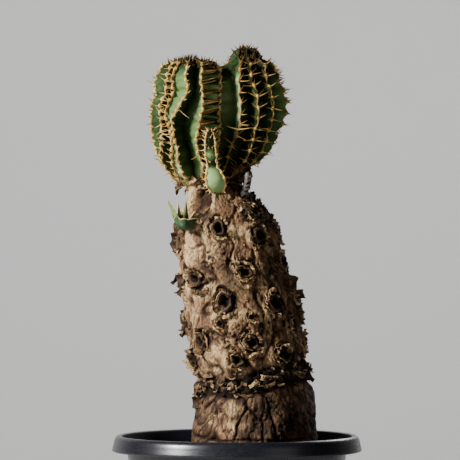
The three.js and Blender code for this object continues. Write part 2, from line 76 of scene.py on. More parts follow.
# %% Lights
LIGHTS = {
    "key_light": {"place": (-1.74, -0.96, 1.24), "aim": (0, 0, 0.29), "size": 0.36, "power": 108},
    "fill_light": {"place": (1.6, -1.9, 0.5), "aim": (0, 0, 0.27), "size": 1.4, "power": 3.5},
    "back_light": {"place": (0.6, 1.3, 1.0), "aim": (0, 0, 0.27), "size": 0.4, "power": 6},
    "wall_light": {"place": (0, 0.5, 1.15), "aim": (0, 1.6, 0.9), "size": 0.8, "power": 10},
}
WORLD_COLOUR = (0.5, 0.5, 0.52, 1)
WORLD_STRENGTH = 0.03


def add_light(name, place, aim, size, power):
    """A square soft light that faces a point."""
    light = bpy.data.objects.new(name, bpy.data.lights.new(name, "AREA"))
    light.data.size = size
    light.data.energy = power
    light.location = place
    light.rotation_mode = "QUATERNION"
    light.rotation_quaternion = (Vector(aim) - Vector(place)).to_track_quat("-Z", "Y")
    bpy.context.scene.collection.objects.link(light)


for name, setting in LIGHTS.items():
    add_light(name, **setting)
world = bpy.data.worlds.new("studio")
world.use_nodes = True
world.node_tree.nodes["Background"].inputs["Color"].default_value = WORLD_COLOUR
world.node_tree.nodes["Background"].inputs["Strength"].default_value = WORLD_STRENGTH
bpy.context.scene.world = world
print("lights:", ", ".join(LIGHTS))

# %% [markdown]
# ## The floor
# A level camera sees no floor behind the plant, only what stands beyond it. So the pale floor
# sweeps up into a wall in one smooth bend, as paper does in a studio. The wall is clear when seen
# from behind, so that the plant's back can be looked at too.

# %% Floor
FLOOR_SIZE = 5
COVE_START = 0.7
COVE_RADIUS = 0.9
COVE_STEPS = 24
WALL_TOP = 4
FLOOR_FRONT = -6
FLOOR_COLOUR = (0.42, 0.415, 0.41, 1)
FLOOR_ROUGHNESS = 0.9
floor_shape = bmesh.new()
start = floor_shape.verts.new((-FLOOR_SIZE, FLOOR_FRONT, 0))
corner = floor_shape.verts.new((-FLOOR_SIZE, COVE_START, 0))
floor_shape.edges.new((start, corner))
bend = bmesh.ops.spin(floor_shape, geom=[corner], cent=(0, COVE_START, COVE_RADIUS), axis=(1, 0, 0),
                      angle=math.pi / 2, steps=COVE_STEPS)["geom_last"]
top = floor_shape.verts.new((-FLOOR_SIZE, COVE_START + COVE_RADIUS, WALL_TOP))
last = next(item for item in bend if isinstance(item, bmesh.types.BMVert))
floor_shape.edges.new((last, top))
drawn = bmesh.ops.extrude_edge_only(floor_shape, edges=list(floor_shape.edges))["geom"]
bmesh.ops.translate(floor_shape, vec=(2 * FLOOR_SIZE, 0, 0),
                    verts=[item for item in drawn if isinstance(item, bmesh.types.BMVert)])
bmesh.ops.remove_doubles(floor_shape, verts=floor_shape.verts, dist=WELD)
bmesh.ops.recalc_face_normals(floor_shape, faces=floor_shape.faces)
if sum(face.normal.z for face in floor_shape.faces) < 0:
    bmesh.ops.reverse_faces(floor_shape, faces=floor_shape.faces)
floor_mesh = bpy.data.meshes.new("floor")
floor_shape.to_mesh(floor_mesh)
floor_shape.free()
floor_mesh.shade_smooth()
floor = bpy.data.objects.new("floor", floor_mesh)
bpy.context.scene.collection.objects.link(floor)

floor_finish = bpy.data.materials.new("pale_floor")
floor_finish.use_nodes = True
floor_tree = floor_finish.node_tree
floor_shader = floor_tree.nodes["Principled BSDF"]
floor_shader.inputs["Base Color"].default_value = FLOOR_COLOUR
floor_shader.inputs["Roughness"].default_value = FLOOR_ROUGHNESS
one_way = floor_tree.nodes.new("ShaderNodeMixShader")
facing = floor_tree.nodes.new("ShaderNodeNewGeometry")
clear = floor_tree.nodes.new("ShaderNodeBsdfTransparent")
floor_tree.links.new(facing.outputs["Backfacing"], one_way.inputs[0])
floor_tree.links.new(floor_shader.outputs["BSDF"], one_way.inputs[1])
floor_tree.links.new(clear.outputs["BSDF"], one_way.inputs[2])
floor_tree.links.new(one_way.outputs["Shader"], floor_tree.nodes["Material Output"].inputs["Surface"])
floor_mesh.materials.append(floor_finish)

print("floor", len(floor_mesh.polygons), "faces")

# %% [markdown]
# ## Helpers for shapes
# Nearly everything here grew as a tube: the trunk, the stems, the horny edges. So one helper
# rolls a flat grid into a tube and asks a small function for each point. The others turn a
# finished shape into a piece that rides on the pot's body.

# %% Shape helpers
DRAW_ITEM = 127.1
DRAW_SALT = 311.7
DRAW_START = 17.3
DRAW_SCALE = 43758.5453


def draw(item, salt=0):
    """A repeatable random number from 0 to 1 for a numbered item."""
    wave = math.sin(item * DRAW_ITEM + salt * DRAW_SALT + DRAW_START) * DRAW_SCALE
    return wave - math.floor(wave)


def mix(first, second, share):
    return first + (second - first) * share


def smooth_step(low, high, value):
    share = min(max((value - low) / (high - low), 0), 1)
    return share * share * (3 - 2 * share)


def hump(value, centre, width):
    """A soft bump of height 1 round a centre."""
    return math.exp(-(((value - centre) / width) ** 2))


def curve_at(pairs, place):
    """Value at a place on a smooth curve through rising (place, value) pairs."""
    last = len(pairs) - 1
    at = min(max(place, pairs[0][0]), pairs[last][0])
    index = next((i for i in range(1, last + 1) if pairs[i][0] >= at), last) - 1

    def slope(k):
        before, after = pairs[max(k - 1, 0)], pairs[min(k + 1, last)]
        return (after[1] - before[1]) / (after[0] - before[0])

    start, end = pairs[index], pairs[index + 1]
    span = end[0] - start[0]
    share = (at - start[0]) / span
    from_start = start[1] + slope(index) * span * share
    from_end = end[1] - slope(index + 1) * span * (1 - share)
    return mix(from_start, from_end, share * share * (3 - 2 * share))


def turn_apart(turn, other=0):
    """How far a turn lies from another, from -180 to 180 degrees."""
    return (turn - other + 180) % 360 - 180


def around(x, y, z, turn, radius):
    """Point in metres round a centre in mm. Turn 0 faces the camera and turn 90 the right."""
    angle = math.radians(turn)
    return Vector((x + radius * math.sin(angle), y - radius * math.cos(angle), z)) * MM


def rolled_tube(shape, columns, rows, place):
    """Rolls a flat grid into a tube; place(column, row) gives each vertex its point in metres.

    The seam is welded from a list, because a set's order changes from run to run.
    """
    grid = bmesh.ops.create_grid(shape, x_segments=columns, y_segments=rows, size=1)["verts"]
    spots = {}
    for vertex in grid:
        column = round((vertex.co.x + 1) / 2 * columns) % columns
        row = round((vertex.co.y + 1) / 2 * rows)
        vertex.co = place(column, row)
        spots[vertex] = (column, row)
    seam = [vertex for vertex in grid if any(edge.is_boundary for edge in vertex.link_edges)]
    bmesh.ops.remove_doubles(shape, verts=seam, dist=WELD)
    return {vertex: spot for vertex, spot in spots.items() if vertex.is_valid}


def make_piece(shape, name, finish, nodes=(), crease=60):
    """Closes a shape, turns its faces outwards and makes it a piece that rides on the pot's body."""
    rims = [edge for edge in shape.edges if edge.is_boundary]
    bmesh.ops.holes_fill(shape, edges=rims, sides=0)
    bmesh.ops.recalc_face_normals(shape, faces=shape.faces)
    mesh = bpy.data.meshes.new(name)
    shape.to_mesh(mesh)
    shape.free()
    mesh.shade_smooth()
    mesh.set_sharp_from_angle(angle=math.radians(crease))
    mesh.materials.append(finish)
    piece = bpy.data.objects.new(name, mesh)
    bpy.context.scene.collection.objects.link(piece)
    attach(piece, "root")
    if nodes:
        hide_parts(*nodes)
    print(name, len(mesh.polygons), "faces")
    return piece


# %% [markdown]
# ## Helpers for finishes
# A finish is a small graph of nodes. These helpers add a node, set or link its sockets, and hand
# back the socket that comes out, so that a finish reads like a sum.

# %% Node helpers
def feed(tree, socket, value):
    """Links a socket to another socket, or sets its value."""
    if isinstance(value, bpy.types.NodeSocket):
        tree.links.new(value, socket)
    else:
        socket.default_value = value


def blend(tree, factor, first, second, mode="MIX"):
    node = tree.nodes.new("ShaderNodeMix")
    node.data_type = "RGBA"
    node.blend_type = mode
    feed(tree, node.inputs[0], factor)
    feed(tree, node.inputs[6], first)
    feed(tree, node.inputs[7], second)
    return node.outputs[2]


def maths(tree, operation, first, second):
    node = tree.nodes.new("ShaderNodeMath")
    node.operation = operation
    feed(tree, node.inputs[0], first)
    feed(tree, node.inputs[1], second)
    return node.outputs[0]


def grain(tree, position, scale, stretch=(1, 1, 1), detail=4, rough=0.55):
    """A cloudy noise, stretched along an axis where it follows fibres."""
    mapping = tree.nodes.new("ShaderNodeMapping")
    feed(tree, mapping.inputs["Vector"], position)
    mapping.inputs["Scale"].default_value = stretch
    node = tree.nodes.new("ShaderNodeTexNoise")
    node.inputs["Scale"].default_value = scale
    node.inputs["Detail"].default_value = detail
    node.inputs["Roughness"].default_value = rough
    tree.links.new(mapping.outputs["Vector"], node.inputs["Vector"])
    return node.outputs["Fac"]


def wandering(tree, position, scale, amount):
    """A place pushed about by a soft noise, by up to about an amount in metres."""
    noise_node = tree.nodes.new("ShaderNodeTexNoise")
    noise_node.inputs["Scale"].default_value = scale
    tree.links.new(position, noise_node.inputs["Vector"])
    return blend(tree, amount, position, noise_node.outputs["Color"], "LINEAR_LIGHT")


def crackle(tree, position, scale, squash):
    """A net of fine dark cracks, drawn out upright by a squash below one."""
    mapping = tree.nodes.new("ShaderNodeMapping")
    mapping.inputs["Scale"].default_value = (1, 1, squash)
    tree.links.new(wandering(tree, position, 130, 0.006), mapping.inputs["Vector"])
    cells = tree.nodes.new("ShaderNodeTexVoronoi")
    cells.feature = "DISTANCE_TO_EDGE"
    cells.inputs["Scale"].default_value = scale
    tree.links.new(mapping.outputs["Vector"], cells.inputs["Vector"])
    return ramp(tree, cells.outputs["Distance"], [(0, (0.2, 0.15, 0.12)), (0.09, (1, 1, 1))])


def ramp(tree, value, stops):
    """Colours by value: stops are (place, colour) pairs."""
    node = tree.nodes.new("ShaderNodeValToRGB")
    elements = node.color_ramp.elements
    while len(elements) < len(stops):
        elements.new(1)
    for element, (place, colour) in zip(elements, stops):
        element.position = place
        element.color = (*colour, 1)
    feed(tree, node.inputs["Fac"], value)
    return node.outputs["Color"]


def bump(tree, height, strength, distance):
    node = tree.nodes.new("ShaderNodeBump")
    node.inputs["Strength"].default_value = strength
    node.inputs["Distance"].default_value = distance
    feed(tree, node.inputs["Height"], height)
    return node.outputs["Normal"]


def attribute(tree, name):
    node = tree.nodes.new("ShaderNodeAttribute")
    node.attribute_name = name
    return node.outputs["Fac"]


def object_place(tree):
    return tree.nodes.new("ShaderNodeTexCoord").outputs["Object"]


def new_finish(name, roughness, specular=0.5):
    """A material with its Principled shader's constant values set."""
    finish = bpy.data.materials.new(name)
    finish.use_nodes = True
    shader = finish.node_tree.nodes["Principled BSDF"]
    shader.inputs["Roughness"].default_value = roughness
    shader.inputs["Specular IOR Level"].default_value = specular
    return finish, finish.node_tree, shader


def new_group(name, inputs, outputs):
    """A node group with named sockets; returns the tree, its inputs and its output node."""
    group = bpy.data.node_groups.new(name, "ShaderNodeTree")
    for socket, kind in inputs.items():
        group.interface.new_socket(name=socket, in_out="INPUT", socket_type=kind)
    for socket, kind in outputs.items():
        group.interface.new_socket(name=socket, in_out="OUTPUT", socket_type=kind)
    return group, group.nodes.new("NodeGroupInput").outputs, group.nodes.new("NodeGroupOutput").inputs


def use_group(tree, group, values):
    node = tree.nodes.new("ShaderNodeGroup")
    node.node_tree = group
    for socket, value in values.items():
        feed(tree, node.inputs[socket], value)
    return node.outputs


# %% [markdown]
# ## The pot
# A nursery pot is blown or pressed from one sheet of plastic: a tapered wall, a broad rolled rim
# that stiffens its mouth, and holes in its base. One outline spun round the axis makes all of it,
# and bevels round off the edges that catch the light.

# %% Pot finish
def slate_plastic(name, specular, dull):
    """Dark slate plastic, mottled with dust and scuffs; dull adds to its roughness."""
    finish, tree, shader = new_finish(name, 0.34, specular)
    place = object_place(tree)
    cloud = grain(tree, place, 30, detail=3)
    scuffs = grain(tree, place, 260, stretch=(1, 1, 5), detail=5, rough=0.7)
    dust = maths(tree, "MULTIPLY", cloud, scuffs)
    colour = ramp(tree, dust, [(0.12, (0.009, 0.009, 0.013)), (0.34, (0.014, 0.014, 0.019)),
                               (0.62, (0.045, 0.043, 0.045))])
    feed(tree, shader.inputs["Base Color"], colour)
    feed(tree, shader.inputs["Roughness"], maths(tree, "ADD", maths(tree, "MULTIPLY", scuffs, 0.24), dull))
    feed(tree, shader.inputs["Normal"], bump(tree, scuffs, 0.08, 0.0004))
    return finish


# %% Pot
POT_HEIGHT = 150
RIM_RADIUS = 90
CREST_RADIUS = 85
LIP_HEIGHT = 11.5
POT_TOP_RADIUS = 79
POT_BASE_RADIUS = 60
POT_WALL = 2.6
POT_STEPS = 144
DRAIN_RADIUS = 5
DRAIN_CIRCLE = 36
DRAIN_COUNT = 6
DRAIN_SIDES = 24
CUTTER_DEPTH = 6 * POT_WALL
INSIDE_MARGIN = 1
CREST_INSET = 2
CREST_STEP = (3, 1)
BASE_CHAMFER = 1.5
BEVEL_BEND = 35
BEVEL_WIDTH = 0.9
BEVEL_SEGMENTS = 4
NEAR_TOP = 0.9
LIP_UNDER = POT_HEIGHT - LIP_HEIGHT
LIP_CURVE = [
    (0.3, 11.5), (0, 10.6), (0.3, 9.2), (0.8, 7.2), (1.25, 5.4), (1.6, 3.6), (2.3, 1.9), (3.4, 0.7),
]
POT_OUTLINE = [
    (0, 0), (POT_BASE_RADIUS, 0), (POT_BASE_RADIUS + BASE_CHAMFER, BASE_CHAMFER), (POT_TOP_RADIUS, LIP_UNDER),
    *[(RIM_RADIUS - inset, POT_HEIGHT - drop) for inset, drop in LIP_CURVE], (CREST_RADIUS, POT_HEIGHT),
    (CREST_RADIUS - CREST_STEP[0], POT_HEIGHT - CREST_STEP[1]), (POT_TOP_RADIUS - POT_WALL, LIP_UNDER),
    (POT_BASE_RADIUS - POT_WALL, POT_WALL), (0, POT_WALL),
]


def pot_inside(z):
    """Radius of the pot's inner wall at a height."""
    return mix(POT_BASE_RADIUS, POT_TOP_RADIUS, z / LIP_UNDER) - POT_WALL


def spun(shape, outline, steps):
    """Spins an outline of (radius, height) points round the axis."""
    points = [shape.verts.new(Vector((radius, 0, height)) * MM) for radius, height in outline]
    edges = [shape.edges.new(pair) for pair in zip(points, points[1:])]
    bmesh.ops.spin(shape, geom=points + edges, cent=(0, 0, 0), axis=(0, 0, 1),
                   angle=2 * math.pi, steps=steps, use_merge=True)
    bmesh.ops.remove_doubles(shape, verts=shape.verts, dist=WELD)


def cut_drains(piece):
    """Cuts the drain holes through the base with one joined cutter."""
    cutter_shape = bmesh.new()
    for item in range(DRAIN_COUNT):
        centre = around(0, 0, 0, item * 360 / DRAIN_COUNT, DRAIN_CIRCLE)
        bmesh.ops.create_cone(cutter_shape, cap_ends=True, segments=DRAIN_SIDES, radius1=DRAIN_RADIUS * MM,
                              radius2=DRAIN_RADIUS * MM, depth=CUTTER_DEPTH * MM,
                              matrix=Matrix.Translation(centre))
    cutter_mesh = bpy.data.meshes.new("drain_cutter")
    cutter_shape.to_mesh(cutter_mesh)
    cutter_shape.free()
    cutter = bpy.data.objects.new("drain_cutter", cutter_mesh)
    bpy.context.scene.collection.objects.link(cutter)
    cut = piece.modifiers.new("drains", "BOOLEAN")
    cut.operation = "DIFFERENCE"
    cut.object = cutter
    whole = bpy.data.meshes.new_from_object(piece.evaluated_get(bpy.context.evaluated_depsgraph_get()))
    piece.modifiers.clear()
    piece.data = whole
    bpy.data.objects.remove(cutter)


def finish_inside(piece, finish):
    """Gives the faces of the pot's inside their own duller finish."""
    piece.data.materials.append(finish)
    for face in piece.data.polygons:
        level = face.center.z / MM
        wall = pot_inside(level) + INSIDE_MARGIN
        if level > LIP_UNDER + INSIDE_MARGIN:
            wall = CREST_RADIUS - CREST_INSET
        within = level > POT_WALL / 2 and math.hypot(face.center.x, face.center.y) < wall * MM
        face.material_index = 1 if within else 0


pot_shape = bmesh.new()
spun(pot_shape, POT_OUTLINE, POT_STEPS)
rim_edges = [
    edge for edge in pot_shape.edges
    if edge.calc_face_angle(0) > math.radians(BEVEL_BEND) and edge.verts[0].co.z > NEAR_TOP * LIP_UNDER * MM
]
bmesh.ops.bevel(pot_shape, geom=rim_edges, offset=BEVEL_WIDTH * MM, offset_type="OFFSET",
                segments=BEVEL_SEGMENTS, profile=0.5, affect="EDGES", material=-1)
pot = make_piece(pot_shape, "pot_shell", slate_plastic("slate_plastic", 0.7, 0.17),
                 nodes=["pot"], crease=40)
cut_drains(pot)
finish_inside(pot, slate_plastic("slate_plastic_inside", 0.05, 0.6))

# %% [markdown]
# ## The soil
# The potting mix is a bed of dark crumbs with light and dark grains of pumice and bark. The bed
# is a spun disc pushed up and down by noise, and the grains are small lumpy balls laid on it by
# a seeded rule, outside the trunk.

# %% Soil finish
def potting_mix():
    finish, tree, shader = new_finish("potting_mix", 0.95, 0.2)
    place = object_place(tree)
    grains = grain(tree, place, 240, detail=5, rough=0.65)
    spots = grain(tree, place, 55, detail=2)
    tone = maths(tree, "ADD", maths(tree, "MULTIPLY", grains, 0.6), maths(tree, "MULTIPLY", spots, 0.45))
    colour = ramp(tree, tone, [(0.38, (0.022, 0.015, 0.011)), (0.5, (0.075, 0.05, 0.034)),
                               (0.6, (0.2, 0.15, 0.105)), (0.72, (0.42, 0.37, 0.3))])
    feed(tree, shader.inputs["Base Color"], colour)
    feed(tree, shader.inputs["Normal"], bump(tree, grains, 0.5, 0.001))
    return finish


# %% Soil bed and grains
SOIL_TOP = 132
SOIL_GAP = 0.5
SOIL_RELIEF = 1.6
SOIL_STEPS = 120
SOIL_RING = 2.5
GRAIN_COUNT = 1500
GRAIN_SIZE = (0.9, 2.6)
GRAIN_LEAST = 0.75
GRAIN_SPAN = 0.5
TRUNK_FOOT = (12.4, 44.5)


def soil_height(x, y):
    coarse = noise.noise(Vector((x / 11, y / 11, 3.1)))
    fine = noise.noise(Vector((x / 3.2, y / 3.2, 7.7)))
    return SOIL_TOP + SOIL_RELIEF * (coarse * 0.8 + fine * 0.5)


soil_edge = pot_inside(SOIL_TOP) - SOIL_GAP - 1.5
soil_rings = int(soil_edge / SOIL_RING)
soil_outline = [(0, POT_WALL + SOIL_GAP), (pot_inside(POT_WALL) - 2, POT_WALL + SOIL_GAP)]
soil_outline += [(soil_edge * (1 - ring / soil_rings), SOIL_TOP) for ring in range(soil_rings + 1)]
soil_shape = bmesh.new()
spun(soil_shape, soil_outline, SOIL_STEPS)
for vertex in soil_shape.verts:
    if vertex.co.z > NEAR_TOP * SOIL_TOP * MM:
        vertex.co.z = soil_height(vertex.co.x / MM, vertex.co.y / MM) * MM
for item in range(GRAIN_COUNT):
    reach = math.sqrt(draw(item, 40)) * (soil_edge - 1)
    spot = around(0, 0, 0, draw(item, 41) * 360, reach)
    size = mix(*GRAIN_SIZE, draw(item, 42) ** 2)
    spot.z = (soil_height(spot.x / MM, spot.y / MM) + size * 0.3) * MM
    if math.hypot(spot.x / MM - TRUNK_FOOT[0], spot.y / MM) > TRUNK_FOOT[1]:
        made = bmesh.ops.create_icosphere(soil_shape, subdivisions=1, radius=size * MM,
                                          matrix=Matrix.Translation(spot))["verts"]
        for vertex in made:
            offset = vertex.co - spot
            number = round(offset.x / MM * 97 + offset.z / MM * 31)
            vertex.co = spot + offset * (GRAIN_LEAST + GRAIN_SPAN * draw(number, item % 7))
make_piece(soil_shape, "potting_soil", potting_mix(), nodes=["soil"], crease=30)

# %% [markdown]
# ## The trunk's shape
# The trunk is a leaning tube whose outline gives its middle and its thickness at each height. A
# function puts a point on it by turn and height, so that everything that grows on the bark, such
# as scars, flakes and shoots, can be placed in the same way.

# %% Trunk outline
TRUNK_OUTLINE = [
    (84, 11, 14), (110, 12, 33), (131, 12.3, 43.6), (147, 12.6, 45.2), (161, 13.1, 44), (176, 13.3, 42.4),
    (190, 11.9, 41), (204, 8, 42.1), (219, 6, 42), (247, 2, 40.8), (262, -0.8, 39.2), (276, -3.9, 39),
    (291, -5.8, 36.2), (303, -7.9, 34.2), (312, -9.2, 29), (320, -10.8, 23.5), (327, -12.4, 20),
    (332, -13.6, 14), (334, -14, 2),
]
TRUNK_MIDDLE = [(z, x) for z, x, radius in TRUNK_OUTLINE]
TRUNK_RADIUS = [(z, radius) for z, x, radius in TRUNK_OUTLINE]


def on_trunk(turn, z, lift=0):
    """Point in metres on the smooth trunk at a turn and height, lifted off it by some mm."""
    return around(curve_at(TRUNK_MIDDLE, z), 0, z, turn, curve_at(TRUNK_RADIUS, z) + lift)


def near_spot(turn, z, across, up, lift=0):
    """Point in metres that lies some mm across and up from a spot on the trunk."""
    step = math.degrees(across / curve_at(TRUNK_RADIUS, z))
    return on_trunk(turn + step, z + up, lift)


# %% [markdown]
# ## Where branches were lost
# Every scar is a cork ring round a dark hole, in a hollow with a ragged lip. The ones that face
# the camera are placed as in the photograph, each with its turn, height and ring radius. Those
# at the back follow a staggered pattern, because they spiral round the trunk as it grows.

# %% Scars
FRONT_SCARS = [
    (-9, 299, 5.2), (36, 294.5, 5.4), (12, 268, 4.8), (-47, 263, 5.2), (-15, 247, 5.6), (37, 246, 5.6),
    (-48, 218, 5.2), (6, 218, 5.4), (38, 210, 5.6), (-74, 204, 4.8), (-10, 205.5, 4.6), (-66, 289, 4.8),
    (67, 275, 5.4), (-84, 258, 4.6), (80, 257, 5.4), (42, 311, 5), (78, 296, 5), (58, 229, 5),
    (82, 218, 5.4), (-84, 231, 4.6), (54, 200, 4.6), (-22, 231, 3), (9, 236, 2.6), (88, 240, 4.6),
]
BACK_ROWS = 5
BACK_PER_ROW = 3
BACK_HEIGHTS = (206, 300)
BACK_TURNS = (122, 206)
BACK_STAGGER = 24
BACK_RING = 5.2
scars = list(FRONT_SCARS)
for row in range(BACK_ROWS):
    for place in range(BACK_PER_ROW):
        item = row * BACK_PER_ROW + place
        turn = mix(*BACK_TURNS, place / (BACK_PER_ROW - 1)) + (row % 2) * BACK_STAGGER + 8 * draw(item, 4)
        scars.append((turn, mix(*BACK_HEIGHTS, row / (BACK_ROWS - 1)) + 5 * draw(item, 5), BACK_RING))
print(len(scars), "scars")

# %% [markdown]
# ## The relief of the bark
# Bark splits along its fibres because the wood under it swells. The relief is a sum of plain
# causes: soft swellings, fine upright fibres, long splits, the scars, a band of crumbled bark
# where the old foot ends, and big plates with deep cracks below it. Each cause also says how
# much painted shade its hollows get, which darkens them later.

# %% Bark relief
SCAR_REACH = 2.6
MOUND_REACH = 20
MOUND_WIDTH = 10
MOUND_RISE = 3.4
BAND_LINE = [(-180, 190), (-90, 181), (-55, 188), (-25, 186), (5, 190), (35, 196), (90, 197), (180, 190)]
BAND_WIDTH = 7.5
FOOT_TOP = 181
PLATE_LOW = 196
FOOT_CREASES = 0.3
BARK_SINK = 0.8
PAINTED_LIGHT_TURN = -50
FAN_TOP = (6, 214)
FOOT_TONE = 0.1
PALE_FOOT = {"turn": -26, "half": 15, "z": 165, "tall": 12}
FIBRE_BEND = 0.8
FIBRE_BEND_REACH = 9
# The crown's forms raise or sink the bark and set its tone and painted shade. The deep hollow under the left
# stem is darkened as a painted shadow, and the two pale ridges beside it, at turns -17 and -66, are made
# paler as painted light.
CROWN_FORMS = [
    {"turn": -32, "z": 319.6, "half": 6.6, "tall": 6.4, "rise": -4.4, "tone": 0.3, "painted_shade": 0.72},
    {"turn": -17, "z": 321, "half": 2.4, "tall": 8, "rise": 1.5, "tone": 1.1, "painted_shade": 0},
    {"turn": -66, "z": 321, "half": 5, "tall": 8, "rise": 2.2, "tone": 1.4, "painted_shade": 0},
    {"turn": 9, "z": 313, "half": 9, "tall": 13, "rise": 0.5, "tone": 0.38, "painted_shade": 0.08},
    {"turn": -52, "z": 283, "half": 7, "tall": 11, "rise": 0.4, "tone": 0.95, "painted_shade": 0},
]
FOOT_CRACKS = [
    [(5.8, 178.8), (7.2, 171.6), (2.2, 164.4), (-1.4, 155), (-2.2, 146.4), (-3, 130)],
    [(7.2, 171.6), (13.7, 165.8), (18.7, 160.8), (18.7, 147.8), (18.2, 130)],
    [(22.3, 178.8), (23.8, 166.6), (27.4, 157.2), (28.5, 146)],
    [(-30, 149.5), (-12, 148.2), (8, 149), (24, 148.4), (48, 148.6)],
    [(-15, 182), (-18, 176), (-24, 170)],
]
FAR_OFF = 99


@lru_cache(maxsize=None)
def scars_near(z):
    """The numbered scars whose mounds reach a height."""
    return [(item, *scar) for item, scar in enumerate(scars) if abs(scar[1] - z) < MOUND_REACH]


def mound(distance):
    """Height in mm of the cushion that a scar sits on."""
    return MOUND_RISE * (hump(distance, 0, MOUND_WIDTH) - 0.12)


def scar_relief(across, up, ring, item):
    """Height in mm, painted shade and greyness near a scar, at mm across and up from its middle."""
    angle = math.atan2(up, across)
    wobble = noise.noise(Vector((math.cos(angle) * 1.4, math.sin(angle) * 1.4, item * 3.7)))
    reach = math.hypot(across * 1.06, up * 0.94) / (ring * (0.96 + 0.4 * wobble))
    if reach > SCAR_REACH:
        return 0, 0, 0
    lower_left = 0.5 + 0.5 * math.cos(angle - math.radians(215))
    hole = smooth_step(0.68, 0.5, reach)
    moat = hump(reach, 1.27, 0.23)
    ragged = 1 + 0.8 * noise.noise(Vector((math.cos(angle) * 4, math.sin(angle) * 4, reach * 3 + item)))
    height = -4.6 * hole + 1.9 * ragged * hump(reach, 0.82, 0.24) - 0.6 * hump(reach, 0.8, 0.07)
    height += -mix(3.2, 1.4, lower_left) * moat + mix(0.6, 1.8, lower_left) * ragged * hump(reach, 1.5, 0.2)
    # Painted shade fills the hole, the moat and a groove in the ring, more on the upper right, away from the
    # light. Beyond the lip lies a painted shadow, which is also stronger on the upper right.
    painted_shade = hole + moat * mix(1.7, 1.2, lower_left) + 0.25 * hump(reach, 0.8, 0.1)
    painted_shade += mix(0.7, 0.45, lower_left) * hump(reach, 1.5, 0.3) * ragged
    return height, min(painted_shade, 1), smooth_step(1.25, 1.05, reach)


def crinkle_relief(local, z):
    """Height and painted shade of the patches where dried skin lies in sharp little folds."""
    patch = smooth_step(0.1, 0.34, noise.noise(local / 14))
    bend = 1.6 * noise.noise_vector(local / 5)
    spot = local + bend
    fold = abs(noise.noise(spot / 3.1)) + 0.5 * abs(noise.noise(spot / 1.5))
    return patch * (0.9 - 3.6 * min(fold, 0.5)), patch * smooth_step(0.22, 0.42, fold)


def crease_relief(local):
    """Height and painted shade of the long soft creases between the cushions of the skin."""
    bend = 5 * noise.noise_vector(local / 17)
    spot = local + bend
    crease = abs(noise.noise(Vector((spot.x / 13, spot.y / 13, spot.z / 19))))
    split = smooth_step(0.07, 0, abs(noise.noise(Vector((spot.x / 4.6, spot.y / 4.6, spot.z / 13)))))
    height = -1.7 * smooth_step(0.16, 0, crease) + 1.3 * crease - 0.5 * split
    return height, max(smooth_step(0.07, 0, crease), 0.75 * split)


def fibre_relief(local, turn, bend):
    """Height and painted shade of fine fibres, which bend round the scars as grain bends round knots."""
    sideways = Vector((math.cos(math.radians(turn)), math.sin(math.radians(turn)), 0))
    spot = local - sideways * bend + 1.7 * noise.noise_vector(local / 8)
    split = smooth_step(0.085, 0, abs(noise.noise(Vector((spot.x / 3, spot.y / 3, spot.z / 15)))))
    thread = noise.noise(Vector((spot.x / 1.6, spot.y / 1.6, spot.z / 8)))
    amount = smooth_step(-0.2, 0.15, noise.noise(local / 16 + Vector((4.3, 0, 0))))
    painted_shade = max(0.9 * split, 0.5 * smooth_step(-0.1, -0.5, thread))
    return amount * (0.65 * thread - 1.1 * split), amount * painted_shade


def fan_relief(x, z):
    """Height and painted shade of the wavy fibres that fan out down the front of the foot."""
    wave = 1.6 * noise.noise(Vector((x / 6, z / 6, 8.4)))
    spread = math.atan2(x + wave - FAN_TOP[0], FAN_TOP[1] - z)
    reach = math.hypot(x - FAN_TOP[0], FAN_TOP[1] - z)
    split = smooth_step(0.13, 0, abs(noise.noise(Vector((spread * 13, reach / 15, 2.2)))))
    thread = noise.noise(Vector((spread * 34, reach / 8, 5.1)))
    return 0.45 * thread - 0.7 * split, max(0.85 * split, 0.5 * smooth_step(-0.1, -0.5, thread))


def crack_relief(x, z):
    """Height and painted shade of the named cracks in the front of the foot."""
    spot = Vector((x, z)) + Vector(noise.noise_vector(Vector((x / 5, z / 5, 1.5)))[:2]) * 1.1
    nearest = FAR_OFF
    for crack in FOOT_CRACKS:
        for start, end in zip(crack, crack[1:]):
            start, end = Vector(start), Vector(end)
            along = min(max((spot - start).dot(end - start) / (end - start).length_squared, 0), 1)
            nearest = min(nearest, (spot - start.lerp(end, along)).length)
    width = 0.62 + 0.4 * noise.noise(Vector((x / 5, z / 5, 4.2)))
    inside = hump(nearest, 0, width)
    height = -1.8 * inside - 0.7 * hump(nearest, 0, 3.2)
    return height, inside * (0.5 + 0.6 * width) + 0.25 * hump(nearest, 0, 2)


